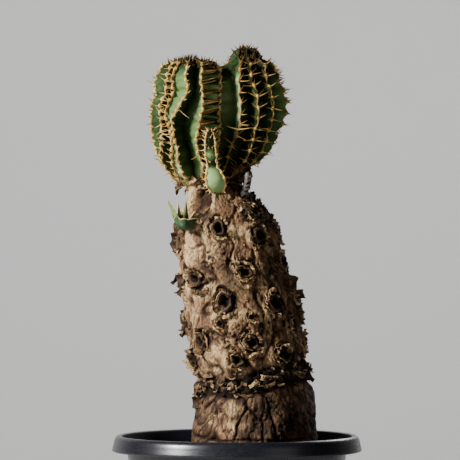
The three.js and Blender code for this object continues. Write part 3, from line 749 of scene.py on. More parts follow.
def bark_relief(turn, z):
    """Height in mm and the painted shade, tone and greyness of the bark at a turn and height."""
    local = (on_trunk(turn, z) - Vector((curve_at(TRUNK_MIDDLE, z), 0, 0)) * MM) / MM
    swelling = noise.noise(local / 21)
    fibre = noise.noise(Vector((local.x * 0.36, local.y * 0.36, local.z * 0.12)))
    thread = noise.noise(Vector((local.x * 0.9, local.y * 0.9, local.z * 0.4)))
    crumb = noise.noise(local / 4.2) + 0.6 * noise.noise(local / 2)
    apart = turn_apart(turn)
    band_line = curve_at(BAND_LINE, apart)
    loose = hump(z, band_line, BAND_WIDTH) * (0.75 + 0.5 * noise.noise(local / 15))
    folded, folds = crinkle_relief(local, z)
    creased, creases = crease_relief(local)
    plain = mix(FOOT_CREASES, 1, smooth_step(FOOT_TOP, PLATE_LOW, z))
    height = 1.8 * swelling + 0.45 * fibre + 0.3 * thread + folded + plain * creased - BARK_SINK * plain
    height += loose * (2.6 * crumb - 1.4) - 2.4 * hump(z, band_line - BAND_WIDTH, 2.2)
    # Painted shade in the folds, the creases and the fibre splits.
    painted_shade = max(0.8 * folds, 0.8 * plain * creases, 0.4 * smooth_step(-0.1, -0.5, fibre))
    # Painted shade in the gaps between the crumbs of the band and in the crevice below it.
    painted_shade = max(painted_shade, 2 * loose * smooth_step(1.2, 0.3, crumb))
    painted_shade = max(painted_shade, hump(z, band_line - BAND_WIDTH + 1, 3.2) * smooth_step(-0.8, -0.2, crumb))
    grey = 0
    if z < FOOT_TOP + 3 and abs(apart) < 90:
        x = on_trunk(turn, z).x / MM
        crack, dark = crack_relief(x, z)
        fan, threads = fan_relief(x, z)
        height += crack + fan
        painted_shade = max(painted_shade, dark, threads)
    bend = 0
    for item, scar_turn, scar_z, ring in scars_near(z):
        across = math.radians(turn_apart(turn, scar_turn)) * curve_at(TRUNK_RADIUS, z)
        up = z - scar_z
        if abs(across) < MOUND_REACH:
            height += mound(math.hypot(across, up))
            bend += FIBRE_BEND * across * hump(math.hypot(across, up), 0, FIBRE_BEND_REACH)
        if max(abs(across), abs(up)) < SCAR_REACH * ring:
            raised, dark, corky = scar_relief(across, up, ring, item)
            height += raised
            painted_shade = max(painted_shade, dark)
            grey = max(grey, corky)
    fibrous, fibres = fibre_relief(local, turn, bend)
    height += plain * (1 - grey) * fibrous
    painted_shade = max(painted_shade, plain * (1 - grey) * fibres)
    # Painted light and shade: the tone is paler on the side that faces the key light and darker on the side
    # in shade. It also rises with the height of the relief.
    painted_light_side = math.cos(math.radians(turn - PAINTED_LIGHT_TURN))
    tone = 0.36 + 0.7 * noise.noise(local / 12) + 0.2 * thread + 0.08 * height + 0.2 * painted_light_side
    pale = hump(apart, PALE_FOOT["turn"], PALE_FOOT["half"]) * hump(z, PALE_FOOT["z"], PALE_FOOT["tall"])
    foot_tone = FOOT_TONE + 0.7 * pale + 0.5 * noise.noise(local / 7)
    tone = mix(tone, foot_tone, smooth_step(FOOT_TOP + 8, FOOT_TOP - 4, z))
    # Painted shade in the low places of the relief.
    painted_shade = max(painted_shade, 0.6 * smooth_step(-0.6, -3.2, height))
    for form in CROWN_FORMS:
        across = math.radians(turn_apart(turn, form["turn"])) * curve_at(TRUNK_RADIUS, z)
        here = smooth_step(1.3, 0.7, math.hypot(across / form["half"], (z - form["z"]) / form["tall"]))
        height += form["rise"] * here
        tone = mix(tone, form["tone"], here)
        painted_shade = mix(painted_shade, form["painted_shade"], here)
    return height, min(painted_shade, 1), min(max(tone, 0), 1), grey


# %% [markdown]
# ## A finish for dry bark
# One shared group colours the bark, its flakes and the cork rings. Pale tan fibres lie over
# pinkish brown, and places with painted shade go nearly black.
# The tone of a place tips it to tan or to brown.

# %% Bark finish
def dry_bark_group():
    group, given, made = new_group(
        "dry_bark",
        {"Position": "NodeSocketVector", "PaintedShade": "NodeSocketFloat", "Tone": "NodeSocketFloat",
         "Grey": "NodeSocketFloat"},
        {"Color": "NodeSocketColor", "Height": "NodeSocketFloat"},
    )
    place = given["Position"]
    drifting = wandering(group, place, 60, 0.012)
    fibres = grain(group, drifting, 620, stretch=(1, 1, 0.26), detail=5, rough=0.65)
    streaks = grain(group, drifting, 150, stretch=(1, 1, 0.4), detail=6, rough=0.68)
    patches = grain(group, place, 60, detail=3)
    specks = grain(group, place, 700, detail=3, rough=0.7)
    worn = maths(group, "ADD", maths(group, "MULTIPLY", maths(group, "ADD", streaks, 0.22), 0.56),
                 maths(group, "MULTIPLY", given["Tone"], 0.55))
    base = ramp(group, worn, [(0.4, (0.06, 0.032, 0.016)), (0.54, (0.165, 0.085, 0.044)),
                              (0.68, (0.33, 0.19, 0.095)), (0.84, (0.7, 0.49, 0.26))])
    olive = ramp(group, patches, [(0.52, (0, 0, 0)), (0.7, (0.35, 0.35, 0.35))])
    tinted = blend(group, olive, base, (0.2, 0.145, 0.06, 1))
    threads = ramp(group, fibres, [(0.36, (0.2, 0.16, 0.13)), (0.49, (0.85, 0.82, 0.78)),
                                   (0.62, (1.45, 1.38, 1.22))])
    fibrous = blend(group, 0.85, tinted, threads, "MULTIPLY")
    crazed = blend(group, 0.3, fibrous, crackle(group, place, 210, 0.6), "MULTIPLY")
    pale = ramp(group, specks, [(0.66, (0, 0, 0)), (0.78, (0.3, 0.3, 0.3))])
    dusted = blend(group, pale, crazed, (0.68, 0.51, 0.31, 1))
    weathered = blend(group, given["Grey"], dusted, (0.19, 0.165, 0.16, 1), "MULTIPLY")
    # Painted shade darkens the colour nearly to black.
    dark = ramp(group, given["PaintedShade"], [(0.12, (0, 0, 0)), (0.8, (1, 1, 1))])
    feed(group, made["Color"], blend(group, dark, weathered, (0.016, 0.009, 0.005, 1)))
    feed(group, made["Height"], maths(group, "ADD", fibres, maths(group, "MULTIPLY", specks, 0.5)))
    return group


dry_bark = dry_bark_group()


def bark_finish(name, roughness, specular, depth):
    """A woody finish that reads the piece's painted shade and tone."""
    finish, tree, shader = new_finish(name, roughness, specular)
    bark = use_group(tree, dry_bark, {
        "Position": object_place(tree), "PaintedShade": attribute(tree, "painted_shade"),
        "Tone": attribute(tree, "tone"), "Grey": attribute(tree, "grey")})
    feed(tree, shader.inputs["Base Color"], bark["Color"])
    dullness = maths(tree, "MULTIPLY", attribute(tree, "painted_shade"), 1 - roughness)
    feed(tree, shader.inputs["Roughness"], maths(tree, "ADD", dullness, roughness))
    feed(tree, shader.inputs["Normal"], bump(tree, bark["Height"], depth, 0.0012))
    return finish


bark_skin = bark_finish("bark_skin", 0.42, 0.2, 0.8)
cork = bark_finish("cork_flakes", 0.48, 0.2, 0.6)

# %% [markdown]
# ## The trunk itself
# The bark is one tube of small cells, with each vertex moved out or in by the relief. The necks
# that carry the two large stems are wrinkled tubes that sink into the crown.

# %% Trunk
BARK_VALUES = ("painted_shade", "tone", "grey")
TRUNK_COLUMNS = 340
TRUNK_ROW = 0.82
BURIED_ROWS = [84, 96, 108, 118, 125]
TRUNK_VISIBLE = (128.5, 333.9)
HIGHEST_BARK = 3.4
# The left neck has a pale tone as painted light, and the right neck a dark tone that also gives it painted
# shade.
NECKS = [((-16, 0, 318), (-31.5, -1, 333), 8.8, 1), ((-8, 0, 318), (-2.6, 3.5, 342), 8, 0.2)]
NECK_FLARE = 0.55
NECK_COLUMNS = 60
NECK_ROWS = 26


def frame_along(direction):
    """Two directions square to a direction, for the cross-section of a tube along it."""
    side = direction.cross(Vector((0, 1, 0))).normalized()
    return side, side.cross(direction).normalized()


def add_neck(shape, layers, foot, head, radius, tone):
    """A wrinkled woody neck with a wide foot."""
    foot, head = Vector(foot), Vector(head)
    side, front = frame_along((head - foot).normalized())

    def place(column, row):
        share = row / NECK_ROWS
        angle = math.radians(column / NECK_COLUMNS * 360)
        outward = side * math.cos(angle) + front * math.sin(angle)
        middle = foot.lerp(head, share)
        skin = middle + outward * radius
        wrinkle = noise.noise(skin / 4) + 0.5 * noise.noise(skin / 1.6)
        reach = radius * (1 + NECK_FLARE * (1 - share) ** 2) + 1.1 * wrinkle
        return (middle + outward * reach) * MM

    for vertex, (column, row) in rolled_tube(shape, NECK_COLUMNS, NECK_ROWS, place).items():
        rough = noise.noise(vertex.co / MM / 4)
        # Painted shade: more on a dark-toned neck, and in its low wrinkles.
        vertex[layers["painted_shade"]] = 0.3 * (1 - tone) + 0.7 * smooth_step(0.1, -0.5, rough)
        vertex[layers["tone"]] = tone


def tone_layers(shape):
    """The values that the bark's finish reads at each vertex."""
    return {name: shape.verts.layers.float.new(name) for name in BARK_VALUES}


trunk_shape = bmesh.new()
trunk_layers = tone_layers(trunk_shape)
visible_rows = int((TRUNK_VISIBLE[1] - TRUNK_VISIBLE[0]) / TRUNK_ROW)
trunk_heights = BURIED_ROWS + [mix(*TRUNK_VISIBLE, row / visible_rows) for row in range(visible_rows + 1)]
trunk_relief = {}


def trunk_place(column, row):
    turn = column / TRUNK_COLUMNS * 360
    height, *values = bark_relief(turn, trunk_heights[row])
    trunk_relief[column, row] = values
    return on_trunk(turn, trunk_heights[row], min(height, HIGHEST_BARK))


for vertex, spot in rolled_tube(trunk_shape, TRUNK_COLUMNS, len(trunk_heights) - 1, trunk_place).items():
    for name, value in zip(BARK_VALUES, trunk_relief[spot]):
        vertex[trunk_layers[name]] = value
for neck in NECKS:
    add_neck(trunk_shape, trunk_layers, *neck)
make_piece(trunk_shape, "trunk_bark", bark_skin, nodes=["trunk"], crease=180)

# %% [markdown]
# ## Green skin and horny edges
# The skin is a waxy grey-green; painted shade darkens it down in the grooves and painted light
# brightens some flanks that face the light. The edges and spines are horn: cream where they are
# fresh and lit, brown where they are young and crowded at the tip, which the piece's age value
# tells. That value also carries painted shade, which browns the spines over shaded hollows and
# the right stem's horn.

# %% Stem finishes
def green_finish(name, deep, middle, pale):
    """Waxy green skin, coloured by how near the rib's edge it lies and by the painted light and shade in its
    crest value.
    """
    finish, tree, shader = new_finish(name, 0.55, 0.06)
    place = object_place(tree)
    mottle = grain(tree, place, 160, detail=4)
    bloom = grain(tree, place, 70, stretch=(1, 1, 2), detail=3)
    nearness = maths(tree, "ADD", attribute(tree, "crest"), maths(tree, "MULTIPLY", maths(
        tree, "SUBTRACT", mottle, 0.5), 0.5))
    base = ramp(tree, maths(tree, "MULTIPLY", nearness, 0.6),
                [(0.012, deep), (0.24, middle), (0.57, pale), (0.95, (0.5, 0.66, 0.34))])
    waxy = maths(tree, "MULTIPLY", ramp(tree, bloom, [(0.48, (0, 0, 0)), (0.72, (0.5, 0.5, 0.5))]),
                 attribute(tree, "crest"))
    frosted = blend(tree, waxy, base, (0.2, 0.3, 0.13, 1))
    scars_seen = grain(tree, place, 420, detail=2)
    marks = ramp(tree, scars_seen, [(0.7, (0, 0, 0)), (0.78, (0.6, 0.6, 0.6))])
    feed(tree, shader.inputs["Base Color"], blend(tree, marks, frosted, (0.32, 0.27, 0.14, 1)))
    feed(tree, shader.inputs["Normal"], bump(tree, mottle, 0.16, 0.0005))
    return finish


def horn_finish():
    """Horn of the rib edges and spines: cream, tan or brown as it ages, and browner where painted shade is
    added.
    """
    finish, tree, shader = new_finish("horn", 0.65, 0.1)
    place = object_place(tree)
    mottle = grain(tree, place, 420, detail=4, rough=0.65)
    tone = maths(tree, "ADD", attribute(tree, "age_and_shade"), maths(tree, "MULTIPLY", maths(
        tree, "SUBTRACT", mottle, 0.5), 0.9))
    colour = ramp(tree, tone, [(0.0, (0.76, 0.54, 0.2)), (0.34, (0.48, 0.29, 0.08)),
                               (0.64, (0.17, 0.09, 0.022)), (0.95, (0.045, 0.024, 0.008))])
    feed(tree, shader.inputs["Base Color"], colour)
    feed(tree, shader.inputs["Normal"], bump(tree, mottle, 0.3, 0.0005))
    return finish


stem_green = green_finish("stem_green", (0.008, 0.016, 0.005), (0.045, 0.09, 0.025), (0.17, 0.27, 0.085))
pad_green = green_finish("pad_green", (0.008, 0.016, 0.005), (0.1, 0.21, 0.06), (0.28, 0.44, 0.16))
shoot_green = green_finish("shoot_green", (0.008, 0.018, 0.01), (0.07, 0.13, 0.06), (0.4, 0.55, 0.1))
horn = horn_finish()

# %% [markdown]
# ## The outlines of the stems
# A stem is described by its middle and radius at each height, and by its ribs, each with its
# turn at some heights, so a rib can lean and wave. The body dips between two ribs, deeper where
# they stand further apart, which gives the thin winged ribs of this plant. For each hollow a pair
# tells how deep it is and at which share of its width it is deepest.

# %% Stem outlines
# The hollows' pale values and each stem's shade list by height paint light and shade on the skin.
VALLEY = ((0, 0.5), (500, 0.5))
NEAR_VALLEY = ((0, 0.1), (500, 0.1))
BARE_VALLEY = ((0, 0.56), (500, 0.56))
FLANK_VALLEY = ((340, 0.85), (352, 0.78), (362, 0.6), (369, 0.4), (380, 0.36), (388, 0.52), (395, 0.85),
                (420, 0.9))


def hollow(deep=1.0, deepest=VALLEY, spread=56, reach=1.0, pale=0.6, brown=0.0, lean=1.0,
           even=0.0, dull=1.0, painted_edge_light=0.0, bars=0.0):
    """A hollow between two ribs: its depth and where it is deepest; how the spines over it spread,
    reach and lean, and how brown they are, partly as painted shade; how pale and even its skin is,
    which paints light and shade on it; how much painted shade darkens its first side, how much
    painted light brightens its last edge and how much painted shade darkens the bars across it."""
    return {"deep": deep, "deepest": deepest, "spread": spread, "reach": reach, "pale": pale,
            "brown": brown, "lean": lean, "even": even, "dull": dull, "painted_edge_light": painted_edge_light, "bars": bars}


LADDER_TOP = 411
LADDER_STEP = 7.2
LADDER_RUNGS = 6
LADDER_RIB = 4
DRY_RIB = 4
DRY_SPINES = 20


def ladder_spines():
    """Three spines to a rung across the hollow that looks like a ladder."""
    spines = []
    for rung in range(LADDER_RUNGS):
        for side in (-1, 0, 1):
            z = LADDER_TOP - LADDER_STEP * rung + 1.1 * side - 1
            reach = (11, 4.5, 2.4 * draw(rung, 52 + side))
            # The rung spines are browner than the other spines, partly as painted shade.
            spines.append(((LADDER_RIB, z), reach, 0.15 + 0.5 * draw(rung, 53 + side)))
    return spines


def dry_spines():
    """Pale dry spines in a row up the outer edge."""
    return [((DRY_RIB, 388 + 1.4 * item), (3 + item % 3, -2 - item % 4, 2.5 - item % 5), -0.05)
            for item in range(DRY_SPINES)]


def plain_hollows(count):
    return [hollow() for _ in range(count)]


LEFT_STEM = {
    "outline": [(329, -31, -1, 7), (334, -33, -2, 10.9), (341, -34.4, -3, 16.3), (355, -36, -4, 21.9),
                (373, -36.8, -5, 24), (388, -36.8, -5, 24.2), (391.5, -36, -5, 23.4),
                (394, -35.4, -5, 22.4), (402, -35.3, -5, 23.6), (411, -34.2, -5, 21.8),
                (415, -33.2, -5, 19.8), (417.4, -33, -5, 16.8), (418.6, -33, -5, 12.5),
                (419.3, -32.6, -5, 7), (419.6, -32, -5, 1)],
    "ribs": [[(334, -104), (360, -94), (420, -84)],
             [(334, -76), (341, -74), (348, -64), (355, -57), (362, -46), (388, -46), (393, -43), (405, -41),
              (420, -46)],
             [(334, -44), (350, -32), (361, -27), (370, -28), (377, -33), (382, -34), (391, -30), (405, -27),
              (420, -28)],
             [(334, -13), (341, -20), (350, -19), (359, -18), (366, -22), (371, -23), (377, -23), (382, -15),
              (391, -5), (398, -1.5), (406, -3), (420, -8)],
             [(334, 42), (344, 36), (349, 26), (355, 21), (362, 20), (369, 22), (375, 26), (381, 29),
              (391, 30), (398, 27), (409, 24), (420, 24)],
             [(334, 70), (373, 78), (420, 80)], [(334, 118), (420, 118)],
             [(334, 160), (420, 160)], [(334, 198), (420, 198)], [(334, 226), (420, 236)]],
    "hollows": [hollow(0.5, VALLEY, 40, 0.7, pale=0.38, even=0.3),
                hollow(1.25, VALLEY, 74, 0.75, pale=0.24, brown=0.1),
                hollow(0.22, NEAR_VALLEY, 45, 0.35, pale=1.08, even=0.6),
                hollow(1.25, FLANK_VALLEY, 34, 0.5, pale=0.95, dull=0.25),
                hollow(0.5, VALLEY, 82, 0.9, pale=1.45, brown=0.24, lean=0.35, even=0.4, bars=1),
                *plain_hollows(4), hollow(0.8)],
    "shade": [(329, 2.4), (339, 2.2), (347, 1), (403, 1), (410, 0.55), (416, 0.1), (423, 0)],
    "core": 0.57, "pitch": 5.6,
    "horn": {"age_and_shade": 0.1, "thick": 1.3, "shield": 1.1, "between": 0.2, "crowd": 1.1},
    "named_spines": [((3, 384), (7.5, -2, -7.5), 0), ((0, 403), (-6.5, -1, 1.8), 0.1),
                     ((0, 391), (-5, -1.5, 1), 0.1), ((1, 366), (5, -4, -1), 0),
                     ((4, 351), (-5, -3, -4), 0.3), *ladder_spines()],
    "tuft": 110, "tuft_heights": (412, 419.4), "tuft_bias": 0.5, "tuft_ages": (0.5, 1.1), "tight": 2.5,
}
RIGHT_STEM = {
    "outline": [(331, -2, 2, 4.5), (339.4, -3.2, 4, 7.6), (341.5, -3, 5, 9.6), (348, 1.3, 7, 15.3),
                (355.2, 4, 8, 19), (362.4, 6.6, 8, 20.8), (369.6, 8.3, 8, 21.6), (378, 10.4, 7, 23.8),
                (393.4, 10.8, 7, 24), (405.6, 8.6, 6, 21.8), (412.8, 8.4, 6, 21), (417, 9, 6, 17.6),
                (419.5, 8, 6, 13.6), (421.5, 7, 6, 11.6), (425, 6.8, 6, 9.8), (428, 6.6, 6, 6.2),
                (429.4, 6.5, 6, 0.8)],
    "ribs": [[(340, -80), (391, -77), (428, -80)],
             [(340, -34), (355, -27), (365, -22), (378, -19), (391, -21), (405, -17), (413, -17),
              (428, -40)],
             [(340, 18), (367, 14), (391, 9), (428, 2)], [(340, 54), (365, 44), (391, 37), (428, 34)],
             [(340, 88), (391, 82), (428, 68)], [(340, 122), (428, 118)], [(340, 158), (428, 156)],
             [(340, 196), (428, 196)], [(340, 240), (428, 240)]],
    "hollows": [hollow(0.55, BARE_VALLEY, 20, 0.5, pale=1.3, even=0.25, painted_edge_light=2.4),
                hollow(1.15, VALLEY, 66, 1.15, pale=0.15, brown=0.08),
                hollow(1.15, VALLEY, 66, 1.15, pale=0.2, brown=0.1), hollow(0.8, VALLEY, 50, 0.9, pale=0.7),
                *plain_hollows(5)],
    "shade": [(331, 0.55), (360, 0.65), (374, 0.75), (382, 1.1), (402, 1), (408, 0.4), (414, 0.12),
              (419, 0.22), (431, 0.22)],
    "core": 0.57, "pitch": 8.8,
    "horn": {"age_and_shade": 0.22, "thick": 0.95, "shield": 2.0, "between": 0.35, "crowd": 0.8},
    "named_spines": [((1, 369.6), (-9, -3, 1.8), -0.05), ((1, 369.6), (9.5, -2.5, 0.4), -0.05),
                     ((3, 370.5), (-8, -1.5, -1), 0.05), ((1, 359), (-7, -2, 5), 0.3),
                     ((0, 357), (5, -6, -5), 0.3), ((0, 411.5), (13, -3, -1.2), 0.5), *dry_spines()],
    "tuft": 70, "tuft_heights": (408, 429.2), "tuft_bias": 1, "tuft_ages": (0.5, 1), "tight": 7.5,
}
CENTRE_STEM = {
    "outline": [(323.6, -14, -17, 2.4), (326, -14.4, -19, 5.2), (330, -15, -21.4, 7),
                (335, -15.6, -22.8, 6.9), (340, -16.6, -23.6, 5.2), (344, -17.6, -24.4, 3.8),
                (350, -18.4, -25, 4.3), (358, -19, -26, 4), (366, -19.2, -28.4, 3),
                (369.4, -19.2, -28.8, 0.8)],
    "ribs": [[(322, -66), (340, -62), (369, -56)], [(322, 66), (340, 60), (369, 56)],
             [(322, 140), (369, 140)], [(322, 220), (369, 220)]],
    "hollows": [hollow(0.1, VALLEY, 44, 0.5, pale=0.9, even=1), hollow(reach=0.5), hollow(reach=0.4),
                hollow(reach=0.5)],
    "shade": [(323, 1), (339, 1), (343, 0.1), (347, 0.1), (350, 0.55), (353, 0.4), (356, 0), (369, 0)],
    "core": 0.6, "pitch": 5,
    "horn": {"age_and_shade": -0.12, "thick": 1.6, "shield": 0.6, "between": 0.1, "crowd": 0.2},
    "tuft": 60, "tuft_heights": (341, 364), "tuft_bias": 1, "tuft_ages": (0, 0.8), "tight": 2.5,
}
RIB_WAVE = 2.6
TOOTH_RISE = 0.04
RIB_COLUMNS = 14
STEM_ROW = 0.9
WIDE_GAP = 38


def stem_value(stem, part, z):
    """The stem's middle x, middle y or radius at a height: part 1, 2 or 3 of its outline."""
    return curve_at([(point[0], point[part]) for point in stem["outline"]], z)


def rib_turn(stem, rib, z):
    """The turn of a rib's edge at a height, with a slight natural wave."""
    wave = noise.noise(Vector((z / 9, rib * 5.3, stem["pitch"])))
    return curve_at(stem["ribs"][rib % len(stem["ribs"])], z) + RIB_WAVE * wave


def tooth(stem, rib, z):
    """How far the edge stands out in teeth, as a share of the radius."""
    return TOOTH_RISE * math.cos(2 * math.pi * (z / stem["pitch"] + draw(rib, 58)))


def crest_point(stem, rib, z):
    """Point in metres on a rib's edge."""
    radius = stem_value(stem, 3, z) * (1 + tooth(stem, rib, z))
    return around(stem_value(stem, 1, z), stem_value(stem, 2, z), z, rib_turn(stem, rib, z), radius)


def rows_along(stem, step):
    """Heights that cut the stem's outline into steps of about equal length."""
    heights = [stem["outline"][0][0]]
    top = stem["outline"][-1][0]
    while heights[-1] < top:
        z = heights[-1]
        slope = (stem_value(stem, 3, min(z + 0.2, top)) - stem_value(stem, 3, z)) / 0.2
        heights.append(min(z + step / math.hypot(1, slope), top))
    return heights


# %% [markdown]
# ## The stems' bodies
# Between two ribs the columns of vertices crowd towards the edges, so that the edge is crisp and
# the hollow is smooth, with few faces.

# %% Stem bodies
BAR_DRIFT = 2.5
BAR_EDGE = (0.25, 0.7)
PAINTED_LIGHT_EDGE = (0.3, 0.6)
HOLLOW_ROUND = 1.7


def ladder_bar(z, share):
    """How near a place in the ladder's hollow lies to a bar of painted shade under its crossing spines, from
    0 to 1.
    """
    drift = BAR_DRIFT * noise.noise(Vector((z, share * 4, 1)) / 3)
    return 0.5 + 0.5 * math.cos(2 * math.pi * (z - LADDER_TOP + drift) / LADDER_STEP)


def stem_body(name, stem, slot, finish):
    """The ribbed body of a stem, with how pale each vertex's skin is."""
    rows = rows_along(stem, STEM_ROW)
    ribs = len(stem["ribs"])
    skin_light_and_shade = {}

    def place(column, row):
        z = rows[row]
        rib, step = divmod(column, RIB_COLUMNS)
        share = 0.5 - 0.5 * math.cos(math.pi * step / RIB_COLUMNS)
        start = rib_turn(stem, rib, z)
        gap = (rib_turn(stem, (rib + 1) % ribs, z) - start) % 360
        hollow_here = stem["hollows"][rib]
        deepest = curve_at(hollow_here["deepest"], z)
        crest = 1 - (share / deepest if share < deepest else (1 - share) / (1 - deepest))
        depth = hollow_here["deep"] * (1 - stem["core"]) * min(1, gap / WIDE_GAP)
        dip = depth * (1 - crest ** HOLLOW_ROUND)
        radius = stem_value(stem, 3, z) * (1 - dip + tooth(stem, rib, z) * crest)
        # Painted light and shade on the skin: the hollow's pale value and the stem's shade list set the
        # paleness. Painted shade darkens a hollow's first side and its ladder bars, and painted light
        # brightens its last edge.
        paleness = mix(crest, 1, hollow_here["even"]) * hollow_here["pale"] * curve_at(stem["shade"], z)
        paleness *= 1 - hollow_here["bars"] * smooth_step(*BAR_EDGE, ladder_bar(z, share))
        painted_edge_light = hollow_here["painted_edge_light"] * smooth_step(*PAINTED_LIGHT_EDGE, crest) * curve_at(stem["shade"], z)
        skin_light_and_shade[column, row] = paleness * hollow_here["dull"] if share < deepest else max(paleness, painted_edge_light)
        return around(stem_value(stem, 1, z), stem_value(stem, 2, z), z, start + gap * share, radius)

    shape = bmesh.new()
    layer = shape.verts.layers.float.new("crest")
    for vertex, spot in rolled_tube(shape, ribs * RIB_COLUMNS, len(rows) - 1, place).items():
        vertex[layer] = skin_light_and_shade[spot]
    make_piece(shape, name, finish, nodes=[slot], crease=75)


stem_body("left_stem_skin", LEFT_STEM, "left_stem", stem_green)
stem_body("right_stem_skin", RIGHT_STEM, "right_stem", stem_green)
stem_body("centre_stem_skin", CENTRE_STEM, "centre_stem", pad_green)

# %% [markdown]
# ## Horny edges with their spines
# Each rib is edged with a band of horn that widens to a shield every five to nine millimetres, and
# each shield bears a pair of stiff spines that point left and right. The spines are copies of one
# small curved cone, turned and stretched to fit, and they crowd together near the tip.

# %% Spine template
SPINE_SIDES = 5
SPINE_STEPS = 4
SPINE_BOW = 0.1
SPINE_TIP = 0.12
SPINE_SLENDER = 12


def small_template(name, shape, values):
    """Keeps a small shape for copying, with its vertex values."""
    bmesh.ops.recalc_face_normals(shape, faces=shape.faces)
    for value in values:
        shape.verts.layers.float.new(value)
    mesh = bpy.data.meshes.new(name)
    shape.to_mesh(mesh)
    shape.free()
    return mesh


def add_copy(shape, template, matrix, values):
    """Adds a placed copy of a template to a shape, all its vertices with the same values."""
    mesh = template.copy()
    mesh.transform(matrix)
    for name, value in values.items():
        mesh.attributes[name].data.foreach_set("value", [value] * len(mesh.vertices))
    shape.from_mesh(mesh)
    bpy.data.meshes.remove(mesh)


def spine_place(column, row):
    share = row / SPINE_STEPS
    angle = 2 * math.pi * column / SPINE_SIDES
    radius = mix(1, SPINE_TIP, share ** 0.8)
    bow = SPINE_BOW * share * share
    return Vector((radius * math.cos(angle), radius * math.sin(angle) + bow * SPINE_SLENDER, share))


spine_shape = bmesh.new()
rolled_tube(spine_shape, SPINE_SIDES, SPINE_STEPS, spine_place)
bmesh.ops.holes_fill(spine_shape, edges=[e for e in spine_shape.edges if e.is_boundary], sides=0)
spine = small_template("spine", spine_shape, ["age_and_shade"])


def add_spine(shape, base, direction, length, root, age_and_shade):
    """A spine from a point in metres, along a direction, with length and root radius in mm."""
    turn = direction.to_track_quat("Z", "Y").to_matrix().to_4x4()
    size = Matrix.Diagonal((root * MM, root * MM, length * MM, 1))
    add_copy(shape, spine, Matrix.Translation(base) @ turn @ size, {"age_and_shade": age_and_shade})


# %% Margins
MARGIN_COLUMNS = 6
MARGIN_ROW = 0.8
MARGIN_HALF = 0.52
MARGIN_THICK = 0.5
MARGIN_WAVE = 0.5
TIP_THINNING = 0.45
SHIELD_REACH = 1.3
SPINE_LENGTHS = (4.6, 8.4)
SPINE_ROOT = 0.66
SMALL_SPINE = 0.7
NET_SPREAD = 60
SPREAD_RANGE = 20
LEAN_RANGE = 0.6
TUFT_DROP = 8
TUFT_LEAN = 1.2
TUFT_LENGTHS = (1.6, 4.4)


def margin_path(stem, rib):
    """Stations along a rib's edge: point, outward, sideways, length along it and crowding."""
    rows = rows_along(stem, MARGIN_ROW)
    widest = max(point[3] for point in stem["outline"])
    points = [crest_point(stem, rib, z) for z in rows]
    stations = []
    along = 0
    for index, (z, point) in enumerate(zip(rows, points)):
        tangent = (points[min(index + 1, len(points) - 1)] - points[max(index - 1, 0)]).normalized()
        middle = Vector((stem_value(stem, 1, z), stem_value(stem, 2, z), z)) * MM
        radial = (point - middle).normalized()
        outward = (radial - tangent * radial.dot(tangent)).normalized()
        along += (point - points[max(index - 1, 0)]).length / MM
        upper = z > stem["outline"][len(stem["outline"]) // 2][0]
        crowding = smooth_step(0.85, 0.45, stem_value(stem, 3, z) / widest) if upper else 0
        stations.append((point, outward, tangent.cross(outward).normalized(), along, crowding))
    return stations


def station_at(stations, along):
    """The station nearest to a length along the edge."""
    return min(stations, key=lambda station: abs(station[3] - along))


def shield_places(stations, pitch, tight, first):
    """Lengths along the edge at which its shields sit, closer together near the tip."""
    places = [first]
    while places[-1] < stations[-1][3] - 1:
        crowding = station_at(stations, places[-1])[4]
        places.append(places[-1] + mix(pitch, tight, crowding))
    return places[:-1]


def add_margin(shape, layer, stem, rib):
    """The band of horn along a rib, with shields and paired spines."""
    stations = margin_path(stem, rib)
    places = shield_places(stations, stem["pitch"], stem["tight"], 2 + 2.5 * draw(rib, 60))
    hollows = [stem["hollows"][rib - 1], stem["hollows"][rib]]
    look = stem["horn"]

    def on_shield(along):
        """How near a length along the edge lies to a shield, from 0 to 1."""
        nearest = min(abs(along - spot) for spot in places)
        return math.exp(-((nearest / SHIELD_REACH) ** 2))

    def place(column, row):
        point, outward, sideways, along, crowding = stations[row]
        angle = 2 * math.pi * column / MARGIN_COLUMNS
        swell = look["thick"] * (1 + look["shield"] * on_shield(along)) * (1 - TIP_THINNING * crowding)
        half = MARGIN_HALF * swell * (1 + 0.4 * noise.noise(point / MM / 1.3))
        wave = MARGIN_WAVE * noise.noise(point / MM / 2.1)
        end = 0.4 if row in (0, len(stations) - 1) else 1
        offset = sideways * (math.cos(angle) * half + wave)
        offset += outward * (math.sin(angle) * MARGIN_THICK * swell + 0.1)
        return point + offset * end * MM

    for vertex, (column, row) in rolled_tube(shape, MARGIN_COLUMNS, len(stations) - 1, place).items():
        along, crowding = stations[row][3:]
        vertex[layer] = look["age_and_shade"] + look["crowd"] * crowding + look["between"] * (1 - on_shield(along))
        vertex[layer] += 0.5 * noise.noise(vertex.co / MM / 6)
    for number, spot in enumerate(places):
        point, outward, sideways, along, crowding = station_at(stations, spot)
        upright = outward.cross(sideways)
        for side, across in zip((-1, 1), hollows):
            item = rib * 97 + number * 2 + side
            spread = math.radians(across["spread"] + SPREAD_RANGE * (draw(item, 61) - 0.5))
            lean = LEAN_RANGE * across["lean"] * (draw(item, 62) - 0.45)
            spread_out = outward * math.cos(spread) + sideways * side * math.sin(spread)
            direction = spread_out + upright * lean
            length = mix(*SPINE_LENGTHS, draw(item, 63)) * mix(across["reach"], 0.6, crowding)
            age_and_shade = look["age_and_shade"] + across["brown"] + look["crowd"] * crowding + 0.25 * draw(item, 64)
            root = point + sideways * side * 0.4 * MM
            add_spine(shape, root, direction.normalized(), length, SPINE_ROOT, age_and_shade)
            if across["spread"] > NET_SPREAD:
                rise = across["lean"] * (0.8 - lean)
                direction = spread_out + upright * rise
                add_spine(shape, root + upright * MM, direction.normalized(), length * SMALL_SPINE,
                          SPINE_ROOT * 0.8, age_and_shade + 0.15)


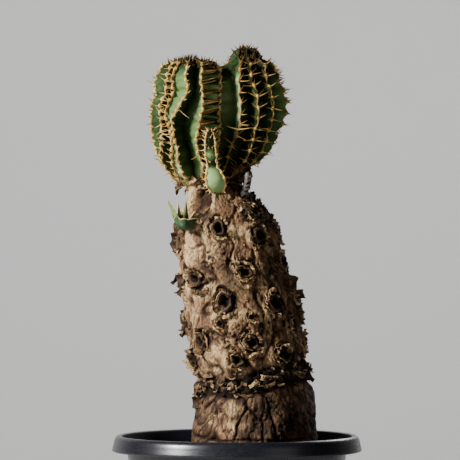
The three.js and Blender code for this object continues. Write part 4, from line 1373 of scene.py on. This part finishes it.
def add_tuft_spine(shape, stem, item):
    """One of the short young spines that crowd over a stem's tip."""
    low, high = stem["tuft_heights"]
    z = mix(low, high, draw(item, 65) ** stem["tuft_bias"])
    turn = 360 * draw(item, 66)
    centre = [stem_value(stem, part, z) for part in (1, 2)]
    base = around(*centre, z, turn, 0.93 * stem_value(stem, 3, z))
    outward = (base - Vector((*centre, low - TUFT_DROP)) * MM).normalized()
    lean = Vector([draw(item, salt) - 0.5 for salt in (67, 68, 69)])
    add_spine(shape, base, (outward + TUFT_LEAN * lean).normalized(), mix(*TUFT_LENGTHS, draw(item, 56)),
              SPINE_ROOT * 0.8, mix(*stem["tuft_ages"], draw(item, 57)))


def stem_margins(name, stem, slot):
    """All the horn of a stem: its margins, the spines that are listed one by one and its tuft."""
    shape = bmesh.new()
    layer = shape.verts.layers.float.new("age_and_shade")
    for rib in range(len(stem["ribs"])):
        add_margin(shape, layer, stem, rib)
    for place, reach, age_and_shade in stem.get("named_spines", ()):
        reach = Vector(reach)
        add_spine(shape, crest_point(stem, *place), reach.normalized(), reach.length, SPINE_ROOT, age_and_shade)
    for item in range(stem["tuft"]):
        add_tuft_spine(shape, stem, item)
    make_piece(shape, name, horn, nodes=[slot], crease=80)


stem_margins("left_stem_horn", LEFT_STEM, "left_stem_margins")
stem_margins("right_stem_horn", RIGHT_STEM, "right_stem_margins")
stem_margins("centre_stem_horn", CENTRE_STEM, "centre_stem_margins")

# %% [markdown]
# ## Ragged cork rings
# Round each scar the cork breaks into thin curled sheets that stand up in nested arcs. Each
# sheet is a strip bent round the scar with a torn upper edge, given thickness at the end. Most of
# the arcs stand on the left and below, so the upper right of the hollow stays dark.

# %% Cork rings
ARC_COLUMNS = 26
ARC_ROWS = 2
ARC_THICKNESS = 0.5
ARCS = [
    {"reach": 1.02, "sweep": 230, "rise": 1.6, "flare": 0.1, "middle": 180},
    {"reach": 1.1, "sweep": 90, "rise": 2.4, "flare": 0.35, "middle": 60},
    {"reach": 1.3, "sweep": 150, "rise": 3, "flare": 0.2, "middle": 215},
    {"reach": 1.55, "sweep": 80, "rise": 2.2, "flare": 0.3, "middle": 240},
]
ARC_TURN_SPREAD = 90


def thicken(shape, thickness):
    """Gives an open sheet a thickness in mm."""
    bmesh.ops.recalc_face_normals(shape, faces=shape.faces)
    bmesh.ops.solidify(shape, geom=shape.faces[:], thickness=thickness * MM)


def set_values(mesh, values):
    for name, value in values.items():
        layer = mesh.attributes.new(name, "FLOAT", "POINT")
        layer.data.foreach_set("value", [value] * len(mesh.vertices))


def absorb(shape, sheet, values):
    """Moves a finished sheet into a shape, with the same values on all its vertices."""
    mesh = bpy.data.meshes.new("sheet")
    sheet.to_mesh(mesh)
    sheet.free()
    set_values(mesh, values)
    shape.from_mesh(mesh)
    bpy.data.meshes.remove(mesh)


def cork_arc(scar, item, reach, sweep, rise, flare, middle):
    """One torn sheet of cork that stands round part of a scar."""
    turn, z, ring = scar
    sheet = bmesh.new()
    grid = bmesh.ops.create_grid(sheet, x_segments=ARC_COLUMNS, y_segments=ARC_ROWS, size=1)["verts"]
    heading = middle + ARC_TURN_SPREAD * (draw(item, 71) - 0.5)
    length = sweep * mix(0.7, 1.15, draw(item, 72))
    for vertex in grid:
        along, up = (vertex.co.x + 1) / 2, (vertex.co.y + 1) / 2
        angle = math.radians(heading + (along - 0.5) * length)
        tear = 0.15 + 2 * abs(noise.noise(Vector((along * 11, item * 1.7, 0.3))))
        ends = min(1, 5 * along, 5 * (1 - along))
        wander = 1 + 0.34 * noise.noise(Vector((math.cos(angle) * 1.6, math.sin(angle) * 1.6, item * 0.9)))
        lift = -0.9 + up * (rise * tear * ends + 0.9)
        distance = ring * reach * wander * (1 + flare * up * up)
        vertex.co = near_spot(turn, z, distance * math.cos(angle) * 0.95, distance * math.sin(angle) * 1.06,
                              lift + mound(distance) - 0.6)
    thicken(sheet, ARC_THICKNESS)
    return sheet


cork_shape = bmesh.new()
tone_layers(cork_shape)
for number, scar in enumerate(scars):
    for order, arc in enumerate(ARCS):
        item = number * len(ARCS) + order
        # Each arc gets a random amount of painted shade.
        absorb(cork_shape, cork_arc(scar, item, **arc),
               {"painted_shade": 0.5 * draw(item, 73) ** 2, "tone": 0.35 + 0.7 * draw(item, 74),
                "grey": 0.3 * draw(item, 75)})
make_piece(cork_shape, "cork_rings", cork, crease=50)

# %% [markdown]
# ## Loose flakes of bark
# Dry flakes cling on the left of and below the scars, along the crumbled band and round the crown.
# They are copies of three small curled sheets, laid on the bark by seeded rules and tilted so that
# their edges catch the light.

# %% Flake templates
FLAKE_CELLS = (4, 3)
FLAKE_CURLS = (0.35, 0.6, -0.4)
FLAKE_THICKNESS = 0.16
FLAKE_LEVELS = (-1, 3)


def flake_template(item, curl):
    """A curled, torn sheet about two units across, lying in the XY plane."""
    sheet = bmesh.new()
    columns, rows = FLAKE_CELLS
    grid = bmesh.ops.create_grid(sheet, x_segments=columns, y_segments=rows, size=1)["verts"]
    for number, vertex in enumerate(grid):
        x, y = vertex.co.x, vertex.co.y
        ragged = 0.8 + 0.4 * draw(number, item)
        height = curl * x * x + 0.3 * x * y + 0.12 * draw(number, item + 9)
        vertex.co = Vector((x * ragged, y * ragged * 0.8, height))
    bmesh.ops.recalc_face_normals(sheet, faces=sheet.faces)
    bmesh.ops.solidify(sheet, geom=sheet.faces[:], thickness=FLAKE_THICKNESS)
    return small_template(f"flake_{item}", sheet, BARK_VALUES)


flakes = [flake_template(item, curl) for item, curl in enumerate(FLAKE_CURLS)]


def add_flake(shape, point, outward, size, tilt, heading, item, tone=None, dark=0.72, drawn_out=1):
    """A flake at a point: heading turns it on the surface and tilt lifts its far edge."""
    across = Vector((0, 0, 1)).cross(outward).normalized()
    upright = outward.cross(across)
    surface = Matrix((across, upright, outward)).transposed().to_4x4()
    pose = Matrix.Rotation(math.radians(heading), 4, "Z") @ Matrix.Rotation(math.radians(tilt), 4, "X")
    scale = Matrix.Diagonal((size * drawn_out * MM, size / drawn_out * MM, size * MM, 1))
    # Each flake gets a random amount of painted shade, scaled by dark.
    add_copy(shape, flakes[item % len(flakes)], Matrix.Translation(point) @ surface @ pose @ scale,
             {"painted_shade": dark * draw(item, 83) ** 1.5, "grey": 0.4 * draw(item, 82),
              "tone": 0.2 + 0.8 * draw(item, 84) if tone is None else tone})


def add_bark_flake(shape, turn, z, lift, size, tilt, heading, item, **look):
    """A flake on the trunk, at a turn and height."""
    outward = (on_trunk(turn, z, 1) - on_trunk(turn, z)).normalized()
    low, high = FLAKE_LEVELS
    level = min(max(bark_relief(turn, z)[0], low), high)
    add_flake(shape, on_trunk(turn, z, lift + level), outward, size, tilt, heading, item, **look)


# %% Flakes on the bark
SCAR_FLAKES = 16
BAND_FLAKES = 330
BAND_SPREAD = 8
CROWN_FLAKES = {"count": 46, "salt": 91, "turns": (18, 285), "heights": (308, 324), "lifts": (0.2, 1.2),
                "sizes": (1, 2.4), "tilts": (0, -70)}
SHOULDER_FLAKES = {"count": 90, "salt": 45, "turns": (22, 88), "heights": (302, 322), "lifts": (-0.2, 1.8),
                   "sizes": (1, 2.8), "tilts": (0, -80), "dry": True}
LOOSE_FLAKES = {"count": 60, "salt": 97, "turns": (0, 360), "heights": (200, 306), "lifts": (0, 0.5),
                "sizes": (0.8, 1.7), "tilts": (0, -40)}
FLAKE_HEADINGS = (-90, 90)
NAMED_FLAPS = [
    (-76, 185, 5.5, 0.6), (-82, 180, 5, 0.8), (-70, 176, 4.6, 0.6), (-64, 187, 4.4, 0.2), (-80, 171, 4, 0.6),
    (76, 258, 8, 0.4), (84, 198, 5, 0.6), (80, 190, 5.5, 0.8), (18, 193, 4.5, 0.8), (26, 192, 4.2, 0.8),
    (34, 195, 4.5, 1), (12, 190, 4, 0.6), (-86, 300, 5.6, 0.8), (-90, 294, 6.4, 1), (-84, 288, 5.6, 0.8),
    (-92, 282, 5, 0.8), (-88, 260, 5.6, 0.8), (-84, 253, 5, 0.6), (60, 307, 5, 0.6), (52, 313, 4.4, 0.8),
    (36, 316, 4, 0.6), (-88, 238, 5, 0.8), (-86, 222, 5, 0.8),
]
SIDE_FLAPS = [
    (70, 259, 6, 2.2, -58, 62), (78, 252, 3.4, 1.4, -50, 100), (-78, 300, 4, 1.6, -50, -80),
    (-82, 292, 4.2, 1.4, -60, -110), (-76, 285, 3.6, 1, -50, -60), (-80, 184, 4.6, 1.4, -55, -80),
    (-78, 174, 4.4, 1.2, -60, -95), (-74, 262, 3.6, 1, -50, -80),
]
NECK_SCALES = [
    {"middle": (-31.5, -2, 332), "radius": 10.5, "count": 26, "heights": (-6, 3), "size": (1.6, 3.8),
     "tone": 0.6},
    {"middle": (-1, 1, 336), "radius": 8.6, "count": 44, "heights": (-9, 7), "size": (1.6, 3.6),
     "tone": 0.25},
]
flake_shape = bmesh.new()
tone_layers(flake_shape)


def scatter_flakes(count, salt, turns, heights, lifts, sizes, tilts, dry=False):
    """Flakes strewn over a stretch of bark; the draws use six salts in a row, and a seventh for dry ones."""
    ranges = (turns, heights, lifts, sizes, tilts, FLAKE_HEADINGS)
    for item in range(count):
        place = [mix(*limits, draw(item, salt + order)) for order, limits in enumerate(ranges)]
        # Dry flakes get more painted shade.
        look = {"tone": draw(item, salt + len(ranges)) ** 1.5, "dark": 1.1, "drawn_out": 1.3} if dry else {}
        add_bark_flake(flake_shape, *place, item, **look)


for number, (turn, z, ring) in enumerate(scars):
    for order in range(SCAR_FLAKES):
        item = number * SCAR_FLAKES + order
        angle = mix(80, 350, draw(item, 70))
        distance = ring * mix(1.15, 1.75, draw(item, 76))
        step = math.degrees(distance * math.cos(math.radians(angle)) / curve_at(TRUNK_RADIUS, z))
        add_bark_flake(flake_shape, turn + step, z + distance * math.sin(math.radians(angle)),
                       mix(-0.2, 0.8, draw(item, 77)), mix(0.9, 2, draw(item, 78)),
                       mix(20, 75, draw(item, 79)), angle - 90 + mix(-35, 35, draw(item, 80)), item)
for item in range(BAND_FLAKES):
    turn = 360 * draw(item, 85) - 180
    z = curve_at(BAND_LINE, turn) + BAND_SPREAD * (draw(item, 86) + draw(item, 55) - 1)
    # Band flakes get strong painted shade, so that many of them go nearly black, like the deep gaps of the
    # band.
    add_bark_flake(flake_shape, turn, z, mix(-0.6, 2, draw(item, 87)), mix(1, 3, draw(item, 88) ** 2),
                   mix(10, -85, draw(item, 89)), mix(-40, 40, draw(item, 90)), item,
                   tone=1.3 * draw(item, 84) ** 1.3, dark=1.7, drawn_out=mix(1, 1.7, draw(item, 54)))
for strewn in (CROWN_FLAKES, SHOULDER_FLAKES, LOOSE_FLAKES):
    scatter_flakes(**strewn)
for item, (turn, z, size, lift) in enumerate(NAMED_FLAPS):
    add_bark_flake(flake_shape, turn, z, lift, size * 0.62, -35 - 30 * draw(item, 103),
                   30 * (draw(item, 104) - 0.5), item, tone=0.1 + 0.5 * draw(item, 110), dark=0.9)
for item, (turn, z, size, lift, tilt, heading) in enumerate(SIDE_FLAPS):
    add_bark_flake(flake_shape, turn, z, lift, size, tilt, heading, item, tone=0.1, dark=0.8)
for scales in NECK_SCALES:
    for item in range(scales["count"]):
        turn = draw(item, 105) * 360
        x, y, z = scales["middle"]
        spot = around(x, y, z + mix(*scales["heights"], draw(item, 106)), turn, scales["radius"])
        outward = (around(x, y, z, turn, 1) - Vector((x, y, z)) * MM).normalized()
        add_flake(flake_shape, spot, outward, mix(*scales["size"], draw(item, 107)),
                  mix(-20, -80, draw(item, 108)), mix(-60, 60, draw(item, 109)), item,
                  scales["tone"] + 0.3 * draw(item, 84))
make_piece(flake_shape, "bark_flakes", cork, crease=40)

# %% [markdown]
# ## The side shoot and the dead stub
# On the left a young shoot opens like a small cup: pale green wings that end in points, joined
# round a short base. On the right stands the dry stub of a dead branch, ringed with notches.

# %% Side shoot
SHOOT_MIDDLE = (-37.6, -31)
SHOOT_HEIGHTS = (297, 304.6)
SHOOT_RADIUS = 6.4
SHOOT_FOOT_SHIFT = (3.6, 5)
SHOOT_WALL = 1
SHOOT_COLUMNS = 72
SHOOT_ROWS = 12
SHOOT_BEND = 1.7
SHOOT_RIM = 0.42
RIM_SIDES = 5
SHOOT_LEAVES = [
    {"turn": -62, "half": 34, "tall": 14, "lean": (-7.2, 0), "sharp": 0.75},
    {"turn": 176, "half": 24, "tall": 14.6, "lean": (1.2, 0), "sharp": 0.8},
    {"turn": -142, "half": 22, "tall": 12.6, "lean": (-1, 0), "sharp": 0.8},
    {"turn": 64, "half": 28, "tall": 6.4, "lean": (2.4, 0), "sharp": 0.7},
    {"turn": 0, "half": 34, "tall": 1, "lean": (0, -0.6), "sharp": 0.7},
]
SHOOT_SPINES = [((-36.5, -37, 305), (8.6, -1.6, 0.6)), ((-44, -34, 307), (-1, -1.4, -2.6))]
SHOOT_SPINE_ROOT = 0.4


def shoot_rim(turn):
    """How far the cup's rim rises at a turn, and how far it leans, where a leaf stands on it."""
    tall, lean = 0, Vector((0, 0, 0))
    for leaf in SHOOT_LEAVES:
        apart = abs(turn_apart(turn, leaf["turn"])) / leaf["half"]
        rise = leaf["tall"] * max(1 - apart, 0) ** leaf["sharp"]
        if rise > tall:
            tall, lean = rise, Vector((*leaf["lean"], 0)) * rise / leaf["tall"]
    return tall, lean


def shoot_point(turn, share):
    """Point in mm on the cup's outside: share 0 is its foot, 1 its rim."""
    tall, lean = shoot_rim(turn)
    bowl = math.sin(math.pi / 2 * min(share * 1.3, 1)) ** 0.7
    z = mix(SHOOT_HEIGHTS[0], SHOOT_HEIGHTS[1] + tall, share ** SHOOT_BEND)
    middle = Vector((*SHOOT_MIDDLE, 0)) + Vector((*SHOOT_FOOT_SHIFT, 0)) * (1 - share) ** 2
    angle = math.radians(turn)
    ridge = 1 + 0.07 * math.cos(5 * angle)
    reach = SHOOT_RADIUS * bowl * ridge * (1 - 0.02 * tall * share)
    outward = Vector((math.sin(angle), -math.cos(angle), 0))
    return middle + outward * max(reach, 0.1) + lean * share ** 2 + Vector((0, 0, z))


shoot_shape = bmesh.new()
shoot_layer = shoot_shape.verts.layers.float.new("crest")


def shoot_place(column, row):
    """The outside from the foot up to the rim, then the inside down again."""
    turn = column / SHOOT_COLUMNS * 360
    share = row / SHOOT_ROWS
    if share <= 1:
        return shoot_point(turn, share) * MM
    back = 2 - share
    thick = SHOOT_WALL * smooth_step(1, 0.7, back)
    angle = math.radians(turn)
    inward = Vector((-math.sin(angle), math.cos(angle), 1 - back)) * thick
    return (shoot_point(turn, back) + inward) * MM


shoot_grid = rolled_tube(shoot_shape, SHOOT_COLUMNS, 2 * SHOOT_ROWS - 2, shoot_place)
for vertex, (column, row) in shoot_grid.items():
    rise = vertex.co.z / MM - SHOOT_HEIGHTS[1]
    # The cup's inside gets the darkest skin, as painted shade; the wings grow paler towards their tips.
    cup = 0 if row > SHOOT_ROWS else 0.3
    paleness = mix(cup, 0.62, smooth_step(0.6, 4, rise))
    vertex[shoot_layer] = paleness + 0.2 * noise.noise(vertex.co / MM / 1.6)
make_piece(shoot_shape, "side_shoot_wings", shoot_green, nodes=["side_shoot"], crease=70)
shoot_horn = bmesh.new()
rim_layer = shoot_horn.verts.layers.float.new("age_and_shade")


def rim_place(column, row):
    turn = row / SHOOT_COLUMNS * 360
    angle = 2 * math.pi * column / RIM_SIDES
    outward = Vector((math.sin(math.radians(turn)), -math.cos(math.radians(turn)), 0))
    offset = outward * math.cos(angle) + Vector((0, 0, 1)) * math.sin(angle)
    return (shoot_point(turn, 1) + offset * SHOOT_RIM) * MM


for vertex in rolled_tube(shoot_horn, RIM_SIDES, SHOOT_COLUMNS, rim_place):
    vertex[rim_layer] = 0.05 + 0.3 * noise.noise(vertex.co / MM / 3)
for base, reach in SHOOT_SPINES:
    reach = Vector(reach)
    add_spine(shoot_horn, Vector(base) * MM, reach.normalized(), reach.length, SHOOT_SPINE_ROOT, 0)
make_piece(shoot_horn, "side_shoot_spines", horn, crease=80)

# %% Dead stub
STUB_ROUTE = [(0.5, -12, 315), (4.6, -15.6, 323), (7.4, -16, 331), (8.6, -15, 339.5)]
STUB_RADIUS = 3.9
STUB_TAPER = 0.3
STUB_NOTCHES = 8
STUB_COLUMNS = 20
STUB_ROWS = 44


def dead_wood():
    """Bare grey wood, darkened with painted shade in its notches."""
    finish, tree, shader = new_finish("dead_wood", 0.9, 0.2)
    streaks = grain(tree, object_place(tree), 500, stretch=(1, 1, 0.4), detail=5, rough=0.65)
    grey = ramp(tree, streaks, [(0.36, (0.07, 0.055, 0.048)), (0.5, (0.2, 0.165, 0.15)),
                                (0.66, (0.38, 0.33, 0.3))])
    dark = ramp(tree, attribute(tree, "painted_shade"), [(0.1, (0, 0, 0)), (0.6, (1, 1, 1))])
    feed(tree, shader.inputs["Base Color"], blend(tree, dark, grey, (0.02, 0.014, 0.011, 1)))
    feed(tree, shader.inputs["Normal"], bump(tree, streaks, 0.5, 0.001))
    return finish


def stub_notch(angle, share):
    """How deep a notch is there, from 0 to 1: they are uneven, and only on the stub's right side."""
    phase = share * STUB_NOTCHES + 0.9 * noise.noise(Vector((share * 7, 0.4, 2)))
    side = smooth_step(0, 0.7, math.cos(angle + 0.5))
    return side * (0.5 - 0.5 * math.cos(2 * math.pi * phase)) ** 2


def stub_place(column, row):
    share = row / STUB_ROWS
    steps = [(item / (len(STUB_ROUTE) - 1), Vector(point)) for item, point in enumerate(STUB_ROUTE)]
    middle = Vector([curve_at([(step, point[axis]) for step, point in steps], share) for axis in range(3)])
    angle = 2 * math.pi * column / STUB_COLUMNS
    notch = stub_notch(angle, share)
    knob = noise.noise(Vector((math.cos(angle), math.sin(angle), share * 9)))
    end = 0.3 if row == STUB_ROWS else 1
    radius = STUB_RADIUS * (1 - STUB_TAPER * share) * (1 - 0.3 * notch + 0.3 * knob) * end
    return (middle + Vector((math.cos(angle), math.sin(angle), 0.25 * math.cos(angle))) * radius) * MM


stub_shape = bmesh.new()
stub_painted_shade = stub_shape.verts.layers.float.new("painted_shade")
for vertex, (column, row) in rolled_tube(stub_shape, STUB_COLUMNS, STUB_ROWS, stub_place).items():
    # Painted shade in the notches.
    vertex[stub_painted_shade] = 0.8 * stub_notch(2 * math.pi * column / STUB_COLUMNS, row / STUB_ROWS)
make_piece(stub_shape, "dead_stub", dead_wood(), nodes=["dead_branch"], crease=180)
